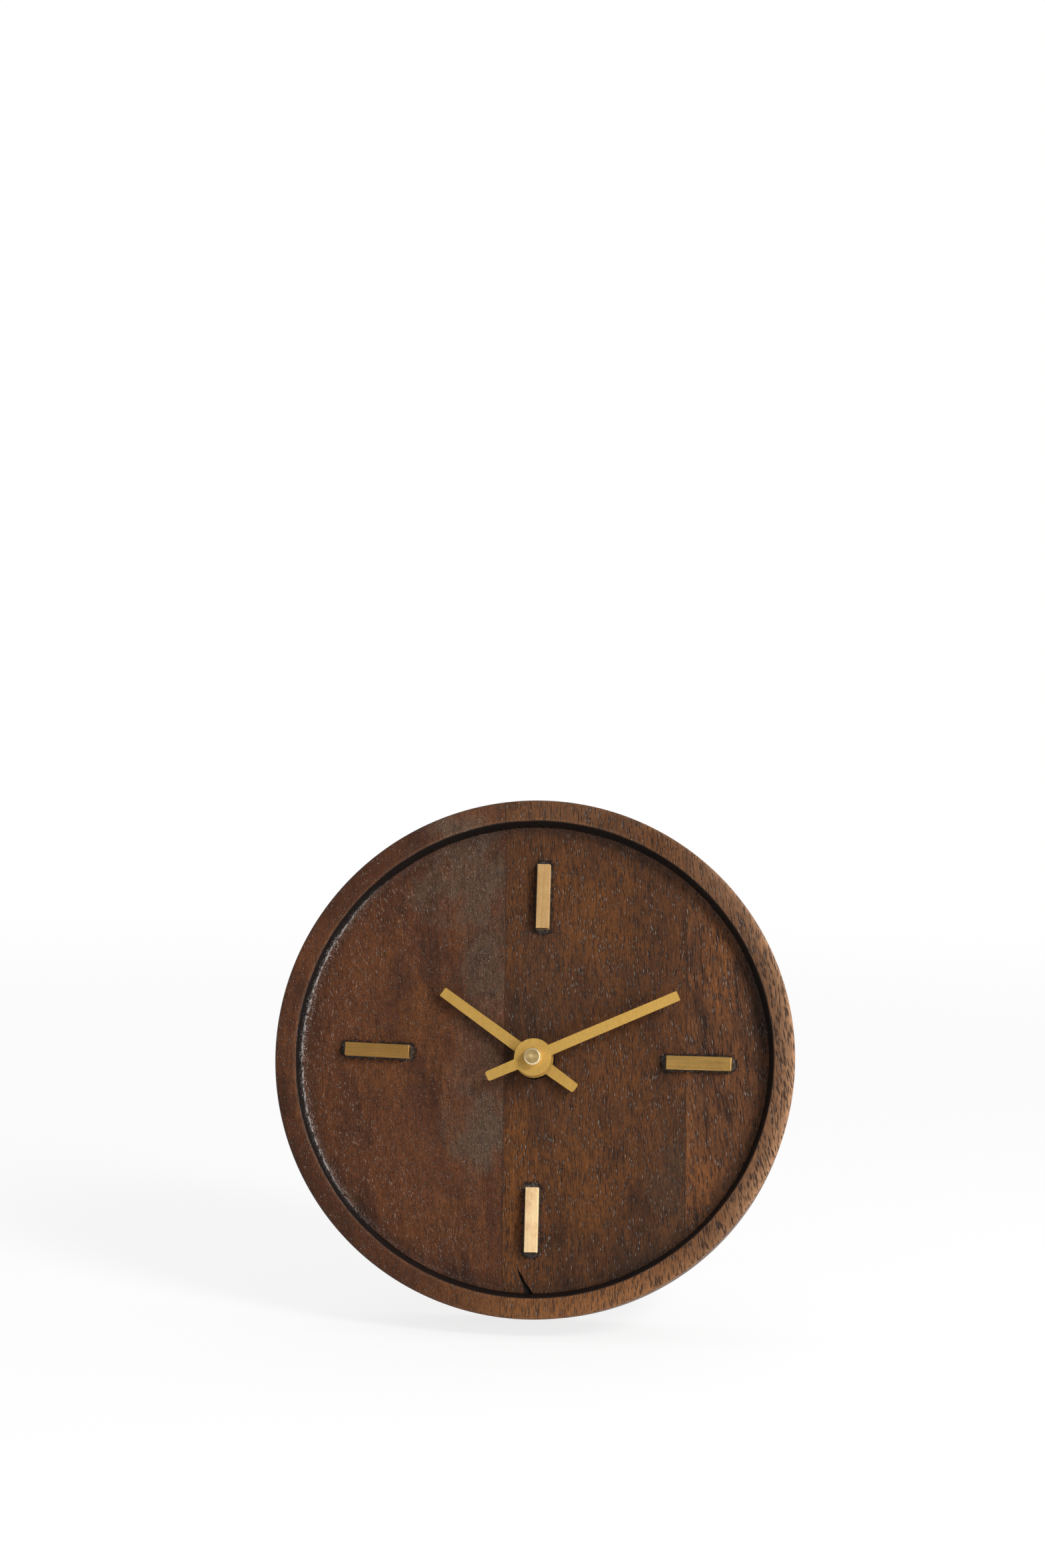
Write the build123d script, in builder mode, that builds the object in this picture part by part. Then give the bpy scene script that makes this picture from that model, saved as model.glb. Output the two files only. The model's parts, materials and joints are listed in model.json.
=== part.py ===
from build123d import *
import os
from math import cos, sin, tan, radians

os.makedirs("parts", exist_ok=True)

# All lengths are in millimetres and all angles in degrees.
half_turn = 180
# "Depth" is measured from the front of the rim into the clock, along the axis of the hands.
# "Height" is measured up the dial from the axis of the hands, towards 12 o'clock.

# How the clock stands
lean = 14.0                   # how far the dial leans back
leg_rake = 10.0               # how far the open leg stands off the vertical

# Wooden body, turned on a lathe
body_radius = 80.0
body_depth = 30.0
rim_width = 6.6
recess_depth = 5.0
wall_slope = 1.4              # the recess wall leans in by this much from rim to dial
cove_radius = 1.5
front_round = 1.0
rim_round = 0.7
back_round = 1.0
seat_cut = 0.4                # flat sanded on the lower rear edge
dial_web = 7.0                # wood between the dial and the movement's pocket
joint_left_share = -0.1175     # places of the glued joints, as shares of the radius
joint_right_share = 0.58375
grain_turn = 1.8              # the boards stand this far off upright

# Brass bars and their routed slots
marker_margin = 12.0          # from a bar's outer end to the foot of the recess wall
marker_length = 20.0
marker_width = 4.0
marker_stand = 3.0            # how far a bar stands out of the dial
marker_sink = 2.8             # how far it goes into the wood
marker_round = 0.25
slot_end_gap = 1.5
slot_side_gap = 0.6
filler_drop = 0.3             # the dark filler lies this far under the dial
# Clock angle of each bar, how far out it lies as a share of the ring, turn on its own centre
marker_angles = {"marker_12": 0.9, "marker_3": 89.6, "marker_6": 178.6, "marker_9": 271.1}
marker_ring_shares = {"marker_12": 1.008, "marker_3": 1.013, "marker_6": 0.992, "marker_9": 0.973}
marker_turns = {"marker_12": -1.6, "marker_3": 0.2, "marker_6": 0.5, "marker_9": -0.2}

# Hands and cap nut
hand_thickness = 1.0
hand_width = 3.1
hand_corner = 0.25
tail_corner = 0.7
minute_reach = 48.3
minute_tail = 15.4
minute_hub_radius = 5.75
minute_proud = 1.8            # top of the minute hand, in front of the rim
minute_angle = 65.0
hour_reach = 35.0
hour_tail = 16.0
hour_hub_radius = 6.1
hour_angle = 304.1
hour_below_rim = 1.6          # top of the hour hand, behind the front of the rim
hand_gap = 0.4                # air between the minute hand's collar and the hour hand
minute_collar_radius = 2.6
hour_collar_radius = 3.6
hour_collar_length = 1.8
cap_radius = 2.65
cap_height = 3.0
cap_bevel = 0.45
cap_blind = 2.2

# Fits
running_gap = 0.05
press_gap = 0.02
loose_gap = 0.1
overrun = 1.0                 # how far a cut runs past the face that it opens

# Movement
case_depth = 16.6
case_corner = 3.0
case_wall = 1.2
pocket_gap = 0.6
gasket_radius = 8.0
gasket_thickness = 1.0
bush_radius = 4.0
bush_hole_gap = 0.3
nut_flats = 10.0
nut_thickness = 2.0
washer_radius = 5.6
washer_thickness = 0.5
nut_well_radius = 6.3
nut_well_depth = 3.0
pipe_radius = 2.5
arbor_radius = 1.6
tip_radius = 1.0
arbor_core_radius = 0.9
works_drop = 11.2             # the hand works reach no lower than this below the centre
partition_wall = 1.0          # between the hand works and the battery
trough_gap = 0.2              # air round the battery in its trough
contact_room = 1.7            # from each end of the battery to its contact's base
coil_air = 0.8                # from the coil's flanges to the case
board_air = 1.3               # from the circuit board to the case

# Wheels: module is the pitch diameter over the number of teeth
hand_module = 0.5
cannon_teeth = 12
motion_teeth = 36
hour_teeth = 40
motion_pinion_teeth = 10
centre_teeth = 64
third_teeth = 60
seconds_teeth = 60
intermediate_teeth = 60
train_pinion_teeth = 8
intermediate_pinion_teeth = 12
rotor_pinion_teeth = 10
centre_module = 0.3
third_module = 0.3
seconds_module = 0.25
rotor_module = 0.2
addendum_share = 0.8          # of the module
dedendum_share = 1.1
tooth_half_shares = (0.26, 0.22, 0.10)  # of the step, at the root, the pitch line and the tip
end_shake = 0.3               # air in front of the hour wheel
hand_wheel_width = 1.0
hand_wheel_step = 1.9
train_wheel_width = 0.7
train_wheel_step = 1.6
pinion_overlap = 0.3          # a pinion is longer than its wheel by this much at each end
plate_gap = 0.7
plate_thickness = 1.0
train_gap = 0.6
train_arbor_radius = 0.55
pivot_radius = 0.35
pivot_length = 0.6
motion_arbor_radius = 1.2
# direction of each wheel's centre from the one before it, anticlockwise from 3 o'clock
motion_direction = -5.0
third_direction = 60.0
seconds_direction = 120.0
intermediate_direction = 190.0
rotor_direction = 250.0

# Motor
magnet_radius = 2.7
magnet_length = 2.0
magnet_gap = 0.5
stator_wall = 1.4
stator_thickness = 1.0
stator_arm_width = 3.0
coil_side = -21.5             # the coil's axis, left of the centre
coil_low = -6.0
coil_high = 20.0
coil_radius = 4.2
flange_size = 9.0
flange_thickness = 0.8
core_width = 3.0
core_end = 3.3                # the core stands out of each flange by this much
bobbin_wall = 0.6

# Circuit board and battery
board_left = 10.0
board_right = 25.5
board_low = 4.0
board_high = 25.0
board_thickness = 1.0
post_radius = 1.2
post_height = 1.4
chip_size = 5.0
chip_height = 0.9
crystal_radius = 1.0
crystal_length = 6.0
battery_radius = 7.1
battery_length = 49.4
terminal_radius = 2.75
terminal_length = 1.1
contact_thickness = 0.4
contact_width = 10.0
dimple_radius = 2.2

# Setting knob
knob_radius = 4.5
knob_height = 2.2
knob_air = 0.3
knob_ribs = 24
knob_rib_radius = 0.3

# Stand
pin_radius = 1.5
pin_standoff = 5.0
pin_above_pocket = 7.4
knuckle_radius = 3.0
knuckle_length = 18.0
ear_thickness = 1.5
ear_gap = 0.2
ear_radius = 4.0
bracket_thickness = 1.5
bracket_above_pin = 14.0
bracket_width = 26.0
bracket_corner = 2.0
screw_spacing = 15.0
screw_above_pin = 9.5
screw_radius = 1.5
screw_head_radius = 2.8
screw_length = 12.0
screw_slot_width = 0.7
screw_slot_depth = 0.5
leg_thickness = 1.6
leg_inset = 0.2                # the leg's top is narrower than its knuckle by this much at each side
leg_foot_width = 28.0
leg_tail = 6.0
leg_corner = 1.5
foot_width = 31.0
foot_length = 7.0
foot_height = 6.0
foot_round = 0.8
foot_floor = 1.6              # rubber under the end of the leg

# Directions of the leaning clock
side = Vector(1, 0, 0)
up_dial = Vector(0, sin(radians(lean)), cos(radians(lean)))
outward = Vector(0, -cos(radians(lean)), sin(radians(lean)))

# Depths of the stack along the axis of the hands
rim_radius = body_radius - rim_width
recess_radius = rim_radius - wall_slope
marker_ring = recess_radius - marker_margin - marker_length / 2
pocket_depth = body_depth - recess_depth - dial_web
# The case is as large inside as the battery, the coil and the circuit board need
case_inside = max(
    battery_length / 2 + contact_room + contact_thickness,
    works_drop + partition_wall + 2 * battery_radius + 2 * trough_gap,
    flange_size / 2 - coil_side + coil_air,
    coil_high + flange_thickness + core_end + coil_air,
    board_right + board_air,
)
case_size = 2 * (case_inside + case_wall)
battery_height = -case_inside + battery_radius + trough_gap
partition_height = battery_height + battery_radius + trough_gap
pocket_size = case_size + 2 * pocket_gap
case_front = recess_depth + dial_web + gasket_thickness
inner_front = case_front + case_wall
case_back = case_front + case_depth
cover_front = case_back - case_wall
nut_well_floor = recess_depth + nut_well_depth
hour_wheel_front = inner_front + end_shake
motion_wheel_front = hour_wheel_front + hand_wheel_step
plate_front = motion_wheel_front + hand_wheel_width + plate_gap
plate_back = plate_front + plate_thickness
centre_wheel_front = plate_back + train_gap
third_wheel_front = centre_wheel_front + train_wheel_step
seconds_wheel_front = third_wheel_front + train_wheel_step
intermediate_wheel_front = seconds_wheel_front + train_wheel_step
minute_top = -minute_proud
minute_back = minute_top + hand_thickness
core_front = plate_back + stator_thickness
coil_depth = core_front + stator_thickness / 2
battery_depth = inner_front + battery_radius + loose_gap


def polar(centre, angle, distance):
    return (centre[0] + distance * cos(radians(angle)), centre[1] + distance * sin(radians(angle)))


# Centres of the wheels, across and up the dial
centre_distance = (centre_teeth + train_pinion_teeth) * centre_module / 2
third_distance = (third_teeth + train_pinion_teeth) * third_module / 2
seconds_distance = (seconds_teeth + intermediate_pinion_teeth) * seconds_module / 2
rotor_distance = (intermediate_teeth + rotor_pinion_teeth) * rotor_module / 2
motion_distance = (cannon_teeth + motion_teeth) * hand_module / 2
hour_module = 2 * motion_distance / (hour_teeth + motion_pinion_teeth)
middle = (0, 0)
motion_centre = polar(middle, motion_direction, motion_distance)
third_centre = polar(middle, third_direction, centre_distance)
seconds_centre = polar(third_centre, seconds_direction, third_distance)
intermediate_centre = polar(seconds_centre, intermediate_direction, seconds_distance)
rotor_centre = polar(intermediate_centre, rotor_direction, rotor_distance)

# Where the leaning clock stands: its box is centred on the origin and rests on the ground
pin_height = pocket_size / 2 + pin_above_pocket
pin_depth = body_depth + pin_standoff
face_z = (
    (body_radius - back_round) * up_dial.Z
    + (body_depth - back_round) * outward.Z
    + back_round
    - seat_cut
)
pin_z = face_z + pin_height * up_dial.Z - pin_depth * outward.Z
leg_run = pin_z * tan(radians(leg_rake))
front_reach = (body_radius - front_round) * up_dial.Y + front_round * outward.Y + front_round
foot_reach = pin_height * up_dial.Y - pin_depth * outward.Y + leg_run
face_y = (front_reach - foot_reach - foot_length / 2) / 2
face_centre = Vector(0, face_y, face_z)
dial_axis = Axis(face_centre, outward)


def spot(x, height, depth):
    return face_centre + side * x + up_dial * height - outward * depth


def dial_plane(depth, x=0, height=0):
    """A plane across the axis of the hands, looking out of the dial."""
    return Plane(origin=spot(x, height, depth), x_dir=side, z_dir=outward)


def section_plane(x=0, height=0):
    """A plane along the axis of the hands: its x is a radius, its y is minus the depth."""
    return Plane(origin=spot(x, height, 0), x_dir=side, z_dir=side.cross(outward))


def clock_heading(angle):
    """Turn a clock angle, clockwise from 12, into an angle from 3 o'clock."""
    return 90 - angle


def marker_spot(name):
    """Centre of a bar, across and up the dial."""
    return polar(middle, clock_heading(marker_angles[name]), marker_ring * marker_ring_shares[name])


def marker_heading(name):
    """Direction of a bar's length, from 3 o'clock."""
    return clock_heading(marker_angles[name] + marker_turns[name])


def save(piece, label):
    piece.label = label
    export_step(piece, f"parts/{label}.step")


def turned(profile, place=middle):
    """A turned piece from its half section, given as radius and depth."""
    with BuildPart() as piece:
        with BuildSketch(section_plane(*place)):
            with BuildLine():
                Polyline([(radius, -depth) for radius, depth in profile], close=True)
            make_face()
        revolve(axis=Axis(spot(*place, 0), outward))
    return piece.part


def gear_face(teeth, module, heading, place):
    """Outline of a toothed wheel, with one tooth pointing along the heading."""
    pitch = teeth * module / 2
    radii = (pitch - dedendum_share * module, pitch, pitch + addendum_share * module)
    step = 2 * half_turn / teeth
    points = []
    for tooth in range(teeth):
        flank = list(zip(radii, tooth_half_shares))
        for way, half_tooth in ((-1, flank), (1, flank[::-1])):
            for radius, share in half_tooth:
                points.append(polar(place, heading + (tooth + way * share) * step, radius))
    with BuildSketch() as outline:
        with BuildLine():
            Polyline(points, close=True)
        make_face()
    return outline.sketch


def wheel(depth, width, teeth, module, heading, place):
    """A toothed disc whose front face lies at the given depth."""
    with BuildPart() as disc:
        with BuildSketch(dial_plane(depth)):
            add(gear_face(teeth, module, heading, place))
        extrude(amount=-width)
    return disc.part


def train_arbor(front, back, place):
    """A thin shaft with a finer pivot at each end."""
    return turned([
        (0, front), (pivot_radius, front), (pivot_radius, front + pivot_length),
        (train_arbor_radius, front + pivot_length), (train_arbor_radius, back - pivot_length),
        (pivot_radius, back - pivot_length), (pivot_radius, back), (0, back),
    ], place)


# Wooden body: one turned form, sawn below into its three glued boards
with BuildPart() as body:
    with BuildSketch(section_plane()):
        with BuildLine():
            FilletPolyline(
                (0, -recess_depth), (recess_radius, -recess_depth), (rim_radius, 0),
                (body_radius, 0), (body_radius, -body_depth), (0, -body_depth),
                radius=[0, cove_radius, rim_round, front_round, back_round, 0], close=True,
            )
        make_face()
    revolve(axis=dial_axis)
    # Pocket for the movement
    with BuildSketch(dial_plane(body_depth)):
        RectangleRounded(pocket_size, pocket_size, case_corner + pocket_gap)
    extrude(amount=pocket_depth, mode=Mode.SUBTRACT)
    # Hole for the bush, with a well that hides the nut under the hands
    with Locations(dial_plane(recess_depth)):
        CounterBoreHole(bush_radius + bush_hole_gap, nut_well_radius, nut_well_depth)
    # Routed slots for the bars
    with BuildSketch(dial_plane(recess_depth)):
        for name in marker_angles:
            with Locations(marker_spot(name)):
                SlotOverall(
                    marker_length + 2 * slot_end_gap, marker_width + 2 * slot_side_gap,
                    rotation=marker_heading(name),
                )
    extrude(amount=-marker_sink, mode=Mode.SUBTRACT)
    # Pilot holes for the bracket's screws
    with BuildSketch(dial_plane(body_depth, height=pin_height + screw_above_pin)):
        with GridLocations(screw_spacing, 0, 2, 1):
            Circle(screw_radius + press_gap)
    extrude(amount=screw_length, mode=Mode.SUBTRACT)
    # Flat that the clock stands on
    split(bisect_by=Plane.XY, keep=Keep.TOP)


def glue_joint(x):
    """Plane of a glued joint between two boards, facing 3 o'clock."""
    grain_up = up_dial * cos(radians(grain_turn)) - side * sin(radians(grain_turn))
    return Plane(origin=spot(x, 0, 0), x_dir=grain_up, z_dir=grain_up.cross(outward))


with BuildPart() as left_board:
    add(body.part)
    split(bisect_by=glue_joint(joint_left_share * body_radius), keep=Keep.BOTTOM)
save(left_board.part, "body_left_board")

with BuildPart() as middle_board:
    add(body.part)
    split(bisect_by=glue_joint(joint_left_share * body_radius), keep=Keep.TOP)
    split(bisect_by=glue_joint(joint_right_share * body_radius), keep=Keep.BOTTOM)
save(middle_board.part, "body_middle_board")

with BuildPart() as right_board:
    add(body.part)
    split(bisect_by=glue_joint(joint_right_share * body_radius), keep=Keep.TOP)
save(right_board.part, "body_right_board")

# Brass bars
for name in marker_angles:
    with BuildPart() as marker:
        with BuildSketch(dial_plane(recess_depth + marker_sink)):
            with Locations(marker_spot(name)):
                Rectangle(marker_length, marker_width, rotation=marker_heading(name))
        extrude(amount=marker_sink + marker_stand)
        chamfer(marker.faces().sort_by(dial_axis)[-1].edges(), marker_round)
    save(marker.part, name)

# Dark filler between each bar and its slot
with BuildPart() as filler:
    with BuildSketch(dial_plane(recess_depth + marker_sink)):
        for name in marker_angles:
            with Locations(marker_spot(name)):
                SlotOverall(
                    marker_length + 2 * slot_end_gap, marker_width + 2 * slot_side_gap,
                    rotation=marker_heading(name),
                )
                Rectangle(
                    marker_length, marker_width, rotation=marker_heading(name), mode=Mode.SUBTRACT
                )
    extrude(amount=marker_sink - filler_drop)
save(filler.part, "slot_filler")


def hand(top, reach, tail, hub_radius, angle, hole_radius, collar):
    """A flat hand with a round hub and a collar behind it; collar is radius, hole, length."""
    collar_radius, collar_hole, collar_length = collar
    heading = radians(clock_heading(angle))
    blade_plane = Plane(
        origin=spot(0, 0, top + hand_thickness),
        x_dir=side * cos(heading) + up_dial * sin(heading), z_dir=outward,
    )
    with BuildPart() as piece:
        with BuildSketch(blade_plane) as outline:
            with Locations(((reach - tail) / 2, 0)):
                Rectangle(reach + tail, hand_width)
            fillet(outline.vertices().group_by(Axis.X)[-1], hand_corner)
            fillet(outline.vertices().group_by(Axis.X)[0], tail_corner)
            Circle(hub_radius)
            Circle(hole_radius, mode=Mode.SUBTRACT)
        extrude(amount=hand_thickness)
        with BuildSketch(dial_plane(top + hand_thickness)):
            Circle(collar_radius)
            Circle(collar_hole, mode=Mode.SUBTRACT)
        extrude(amount=-collar_length)
    return piece.part


minute_collar_length = hour_below_rim - hand_gap - minute_back
minute_hand = hand(
    minute_top, minute_reach, minute_tail, minute_hub_radius, minute_angle,
    tip_radius + press_gap,
    (minute_collar_radius, arbor_radius + press_gap, minute_collar_length),
)
save(minute_hand, "minute_hand")

hour_hand = hand(
    hour_below_rim, hour_reach, hour_tail, hour_hub_radius, hour_angle,
    pipe_radius + press_gap,
    (hour_collar_radius, pipe_radius + press_gap, hour_collar_length),
)
save(hour_hand, "hour_hand")

cap_nut = turned([
    (0, minute_top - cap_height), (cap_radius - cap_bevel, minute_top - cap_height),
    (cap_radius, minute_top - cap_height + cap_bevel), (cap_radius, minute_top),
    (tip_radius + press_gap, minute_top), (tip_radius + press_gap, minute_top - cap_blind),
    (0, minute_top - cap_blind),
])
save(cap_nut, "cap_nut")

# Fixing of the movement in the wood
bush_front = recess_depth
threaded_bush = turned([
    (pipe_radius + running_gap, bush_front), (bush_radius, bush_front),
    (bush_radius, inner_front), (pipe_radius + running_gap, inner_front),
])
save(threaded_bush, "threaded_bush")

washer_front = nut_well_floor - washer_thickness
washer = turned([
    (bush_radius + loose_gap, washer_front), (washer_radius, washer_front),
    (washer_radius, nut_well_floor), (bush_radius + loose_gap, nut_well_floor),
])
save(washer, "washer")

with BuildPart() as nut:
    with BuildSketch(dial_plane(washer_front)):
        RegularPolygon(nut_flats / 2, 6, major_radius=False)
        Circle(bush_radius + press_gap, mode=Mode.SUBTRACT)
    extrude(amount=nut_thickness)
save(nut.part, "hex_nut")

gasket_front = recess_depth + dial_web
gasket = turned([
    (bush_radius + loose_gap, gasket_front), (gasket_radius, gasket_front),
    (gasket_radius, case_front), (bush_radius + loose_gap, case_front),
])
save(gasket, "rubber_gasket")

# Movement case: a shell open at the back, with the battery trough below
trough_low = -case_inside
plate_left = coil_side + coil_radius + end_shake
plate_low = partition_height + partition_wall + plate_gap
plate_high = case_inside - plate_gap
plate_right = case_inside - plate_gap
plate_post_inset = 2 * post_radius
plate_posts = [
    (x, height)
    for x in (plate_left + plate_post_inset, plate_right - plate_post_inset)
    for height in (plate_low + plate_post_inset, plate_high - plate_post_inset)
]
with BuildPart() as case:
    with BuildSketch(dial_plane(cover_front)):
        RectangleRounded(case_size, case_size, case_corner)
    extrude(amount=cover_front - case_front)
    with BuildSketch(dial_plane(cover_front)):
        RectangleRounded(2 * case_inside, 2 * case_inside, case_corner - case_wall)
    extrude(amount=cover_front - inner_front, mode=Mode.SUBTRACT)
    with BuildSketch(dial_plane(cover_front)):
        with Locations((0, partition_height + partition_wall / 2)):
            Rectangle(2 * case_inside, partition_wall)
    extrude(amount=cover_front - inner_front)
    with BuildSketch(dial_plane(plate_front)):
        with Locations(plate_posts):
            Circle(post_radius)
    extrude(amount=plate_front - inner_front)
    with BuildSketch(dial_plane(inner_front)):
        Circle(bush_radius + press_gap)
    extrude(amount=case_wall, mode=Mode.SUBTRACT)
    with BuildSketch(dial_plane(inner_front)):
        with Locations(motion_centre):
            Circle(train_arbor_radius + running_gap)
    extrude(amount=pivot_length, mode=Mode.SUBTRACT)
save(case.part, "movement_case")

train_centres = [third_centre, seconds_centre, intermediate_centre, rotor_centre]

# Rear cover, open over the battery
board_centre = ((board_left + board_right) / 2, (board_low + board_high) / 2)
with BuildPart() as cover:
    with BuildSketch(dial_plane(case_back)):
        RectangleRounded(case_size, case_size, case_corner)
        with Locations((0, (trough_low + partition_height) / 2)):
            Rectangle(2 * case_inside, partition_height - trough_low, mode=Mode.SUBTRACT)
        with Locations(motion_centre):
            Circle(motion_arbor_radius + running_gap, mode=Mode.SUBTRACT)
    extrude(amount=case_wall)
    with BuildSketch(dial_plane(cover_front)):
        with Locations(board_centre):
            with GridLocations(
                board_right - board_left - 4 * post_radius,
                board_high - board_low - 4 * post_radius, 2, 2,
            ):
                Circle(post_radius)
    extrude(amount=post_height)
    with BuildSketch(dial_plane(cover_front)):
        with Locations(middle, *train_centres):
            Circle(pivot_radius + running_gap)
    extrude(amount=-pivot_length, mode=Mode.SUBTRACT)
save(cover.part, "rear_cover")

# Middle plate, which carries the train and the motor
with BuildPart() as plate:
    with BuildSketch(dial_plane(plate_back)):
        with Locations(((plate_left + plate_right) / 2, (plate_low + plate_high) / 2)):
            Rectangle(plate_right - plate_left, plate_high - plate_low)
        with Locations(*train_centres):
            Circle(pivot_radius + running_gap, mode=Mode.SUBTRACT)
        Circle(arbor_radius + running_gap, mode=Mode.SUBTRACT)
        with Locations(motion_centre):
            Circle(motion_arbor_radius + running_gap, mode=Mode.SUBTRACT)
    extrude(amount=plate_thickness)
save(plate.part, "middle_plate")

# Minute arbor: threaded tip, hand seat, pinion of the hand works, pivot in the rear cover
pivot_end = cover_front + pivot_length - running_gap
cannon_front = motion_wheel_front - pinion_overlap
cannon_back = motion_wheel_front + hand_wheel_width + pinion_overlap
arbor_shape = turned([
    (0, minute_top - cap_blind + loose_gap), (tip_radius, minute_top - cap_blind + loose_gap),
    (tip_radius, minute_back), (arbor_radius, minute_back),
    (arbor_radius, plate_back), (arbor_core_radius, plate_back),
    (arbor_core_radius, pivot_end - pivot_length),
    (pivot_radius, pivot_end - pivot_length), (pivot_radius, pivot_end), (0, pivot_end),
])
with BuildPart() as minute_arbor:
    add(arbor_shape)
    add(wheel(cannon_front, cannon_back - cannon_front, cannon_teeth, hand_module,
              motion_direction, middle))
save(minute_arbor.part, "minute_arbor")

# Motion wheel: meshes with the minute arbor, and its pinion turns the hour wheel
back_heading = motion_direction + half_turn
knob_front = case_back + knob_air
motion_pinion_front = hour_wheel_front - pinion_overlap / 2
motion_arbor = turned([
    (0, inner_front + running_gap), (train_arbor_radius, inner_front + running_gap),
    (train_arbor_radius, motion_pinion_front), (motion_arbor_radius, motion_pinion_front),
    (motion_arbor_radius, knob_front + knob_height / 2), (0, knob_front + knob_height / 2),
], motion_centre)
with BuildPart() as motion_wheel:
    add(motion_arbor)
    add(wheel(motion_wheel_front, hand_wheel_width, motion_teeth, hand_module,
              back_heading + half_turn / motion_teeth, motion_centre))
    add(wheel(motion_pinion_front, motion_wheel_front - motion_pinion_front,
              motion_pinion_teeth, hour_module, back_heading, motion_centre))
save(motion_wheel.part, "motion_wheel")

with BuildPart() as knob:
    with BuildSketch(dial_plane(knob_front + knob_height)):
        with Locations(motion_centre):
            Circle(knob_radius)
            with PolarLocations(knob_radius, knob_ribs):
                Circle(knob_rib_radius)
    extrude(amount=knob_height)
    with BuildSketch(dial_plane(knob_front + knob_height / 2)):
        with Locations(motion_centre):
            Circle(motion_arbor_radius + press_gap)
    extrude(amount=knob_height / 2, mode=Mode.SUBTRACT)
save(knob.part, "setting_knob")

# Hour wheel on its pipe, which carries the hour hand
hour_pipe = turned([
    (arbor_radius + running_gap, hour_below_rim), (pipe_radius, hour_below_rim),
    (pipe_radius, hour_wheel_front + hand_wheel_width),
    (arbor_radius + running_gap, hour_wheel_front + hand_wheel_width),
])
with BuildPart() as hour_wheel:
    add(wheel(hour_wheel_front, hand_wheel_width, hour_teeth, hour_module,
              motion_direction + half_turn / hour_teeth, middle))
    with BuildSketch(dial_plane(hour_wheel_front)):
        Circle(pipe_radius)
    extrude(amount=-hand_wheel_width, mode=Mode.SUBTRACT)
    add(hour_pipe)
save(hour_wheel.part, "hour_wheel")

# Centre wheel, held on the minute arbor by friction only
centre_back = centre_wheel_front + train_wheel_width
centre_hub = turned([
    (arbor_core_radius, centre_wheel_front - pinion_overlap),
    (2 * arbor_core_radius, centre_wheel_front - pinion_overlap),
    (2 * arbor_core_radius, centre_back), (arbor_core_radius, centre_back),
])
with BuildPart() as centre_wheel:
    add(wheel(centre_wheel_front, train_wheel_width, centre_teeth, centre_module,
              third_direction, middle))
    add(centre_hub)
    with BuildSketch(dial_plane(centre_wheel_front - pinion_overlap)):
        Circle(arbor_core_radius + running_gap)
    extrude(amount=-train_wheel_width - pinion_overlap, mode=Mode.SUBTRACT)
save(centre_wheel.part, "centre_wheel")


def train_wheel(place, pinion, disc):
    """A wheel, its pinion and its arbor; each gear is front depth, teeth, module, heading."""
    with BuildPart() as piece:
        add(train_arbor(plate_back - pivot_length, pivot_end, place))
        front, teeth, module, heading = pinion
        add(wheel(front - pinion_overlap, train_wheel_width + 2 * pinion_overlap,
                  teeth, module, heading, place))
        if disc:
            front, teeth, module, heading = disc
            add(wheel(front, train_wheel_width, teeth, module, heading, place))
    return piece.part


third_wheel = train_wheel(
    third_centre,
    (centre_wheel_front, train_pinion_teeth, centre_module,
     third_direction + half_turn + half_turn / train_pinion_teeth),
    (third_wheel_front, third_teeth, third_module, seconds_direction),
)
save(third_wheel, "third_wheel")

seconds_wheel = train_wheel(
    seconds_centre,
    (third_wheel_front, train_pinion_teeth, third_module,
     seconds_direction + half_turn + half_turn / train_pinion_teeth),
    (seconds_wheel_front, seconds_teeth, seconds_module, intermediate_direction),
)
save(seconds_wheel, "seconds_wheel")

intermediate_wheel = train_wheel(
    intermediate_centre,
    (seconds_wheel_front, intermediate_pinion_teeth, seconds_module,
     intermediate_direction + half_turn + half_turn / intermediate_pinion_teeth),
    (intermediate_wheel_front, intermediate_teeth, rotor_module, rotor_direction),
)
save(intermediate_wheel, "intermediate_wheel")

rotor_shape = train_wheel(
    rotor_centre,
    (intermediate_wheel_front, rotor_pinion_teeth, rotor_module,
     rotor_direction + half_turn + half_turn / rotor_pinion_teeth),
    None,
)
magnet_front = plate_back + end_shake
with BuildPart() as rotor:
    add(rotor_shape)
    with BuildSketch(dial_plane(magnet_front)):
        with Locations(rotor_centre):
            Circle(magnet_radius)
    extrude(amount=-magnet_length)
save(rotor.part, "rotor")

# Stator: a ring round the rotor, with two arms out to the ends of the coil's core
ring_hole = magnet_radius + magnet_gap
arm_x = rotor_centre[0] - ring_hole + stator_wall / 2
low_arm = coil_low - flange_thickness - core_end / 2
high_arm = coil_high + flange_thickness + core_end / 2
arm_end = coil_side - core_width / 2
arm_start = arm_x + stator_arm_width / 2
with BuildPart() as stator:
    with BuildSketch(dial_plane(plate_back)):
        with Locations(rotor_centre):
            Circle(ring_hole + stator_wall)
        with Locations((arm_x, (low_arm + high_arm) / 2)):
            Rectangle(stator_arm_width, high_arm - low_arm)
        for height in (low_arm, high_arm):
            with Locations(((arm_start + arm_end) / 2, height)):
                Rectangle(arm_start - arm_end, stator_arm_width)
        with Locations(rotor_centre):
            Circle(ring_hole, mode=Mode.SUBTRACT)
    extrude(amount=-stator_thickness)
save(stator.part, "stator")

with BuildPart() as core:
    with BuildSketch(dial_plane(core_front)):
        with Locations((coil_side, (coil_low + coil_high) / 2)):
            Rectangle(core_width, coil_high - coil_low + 2 * flange_thickness + 2 * core_end)
    extrude(amount=-stator_thickness)
save(core.part, "coil_core")

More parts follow.
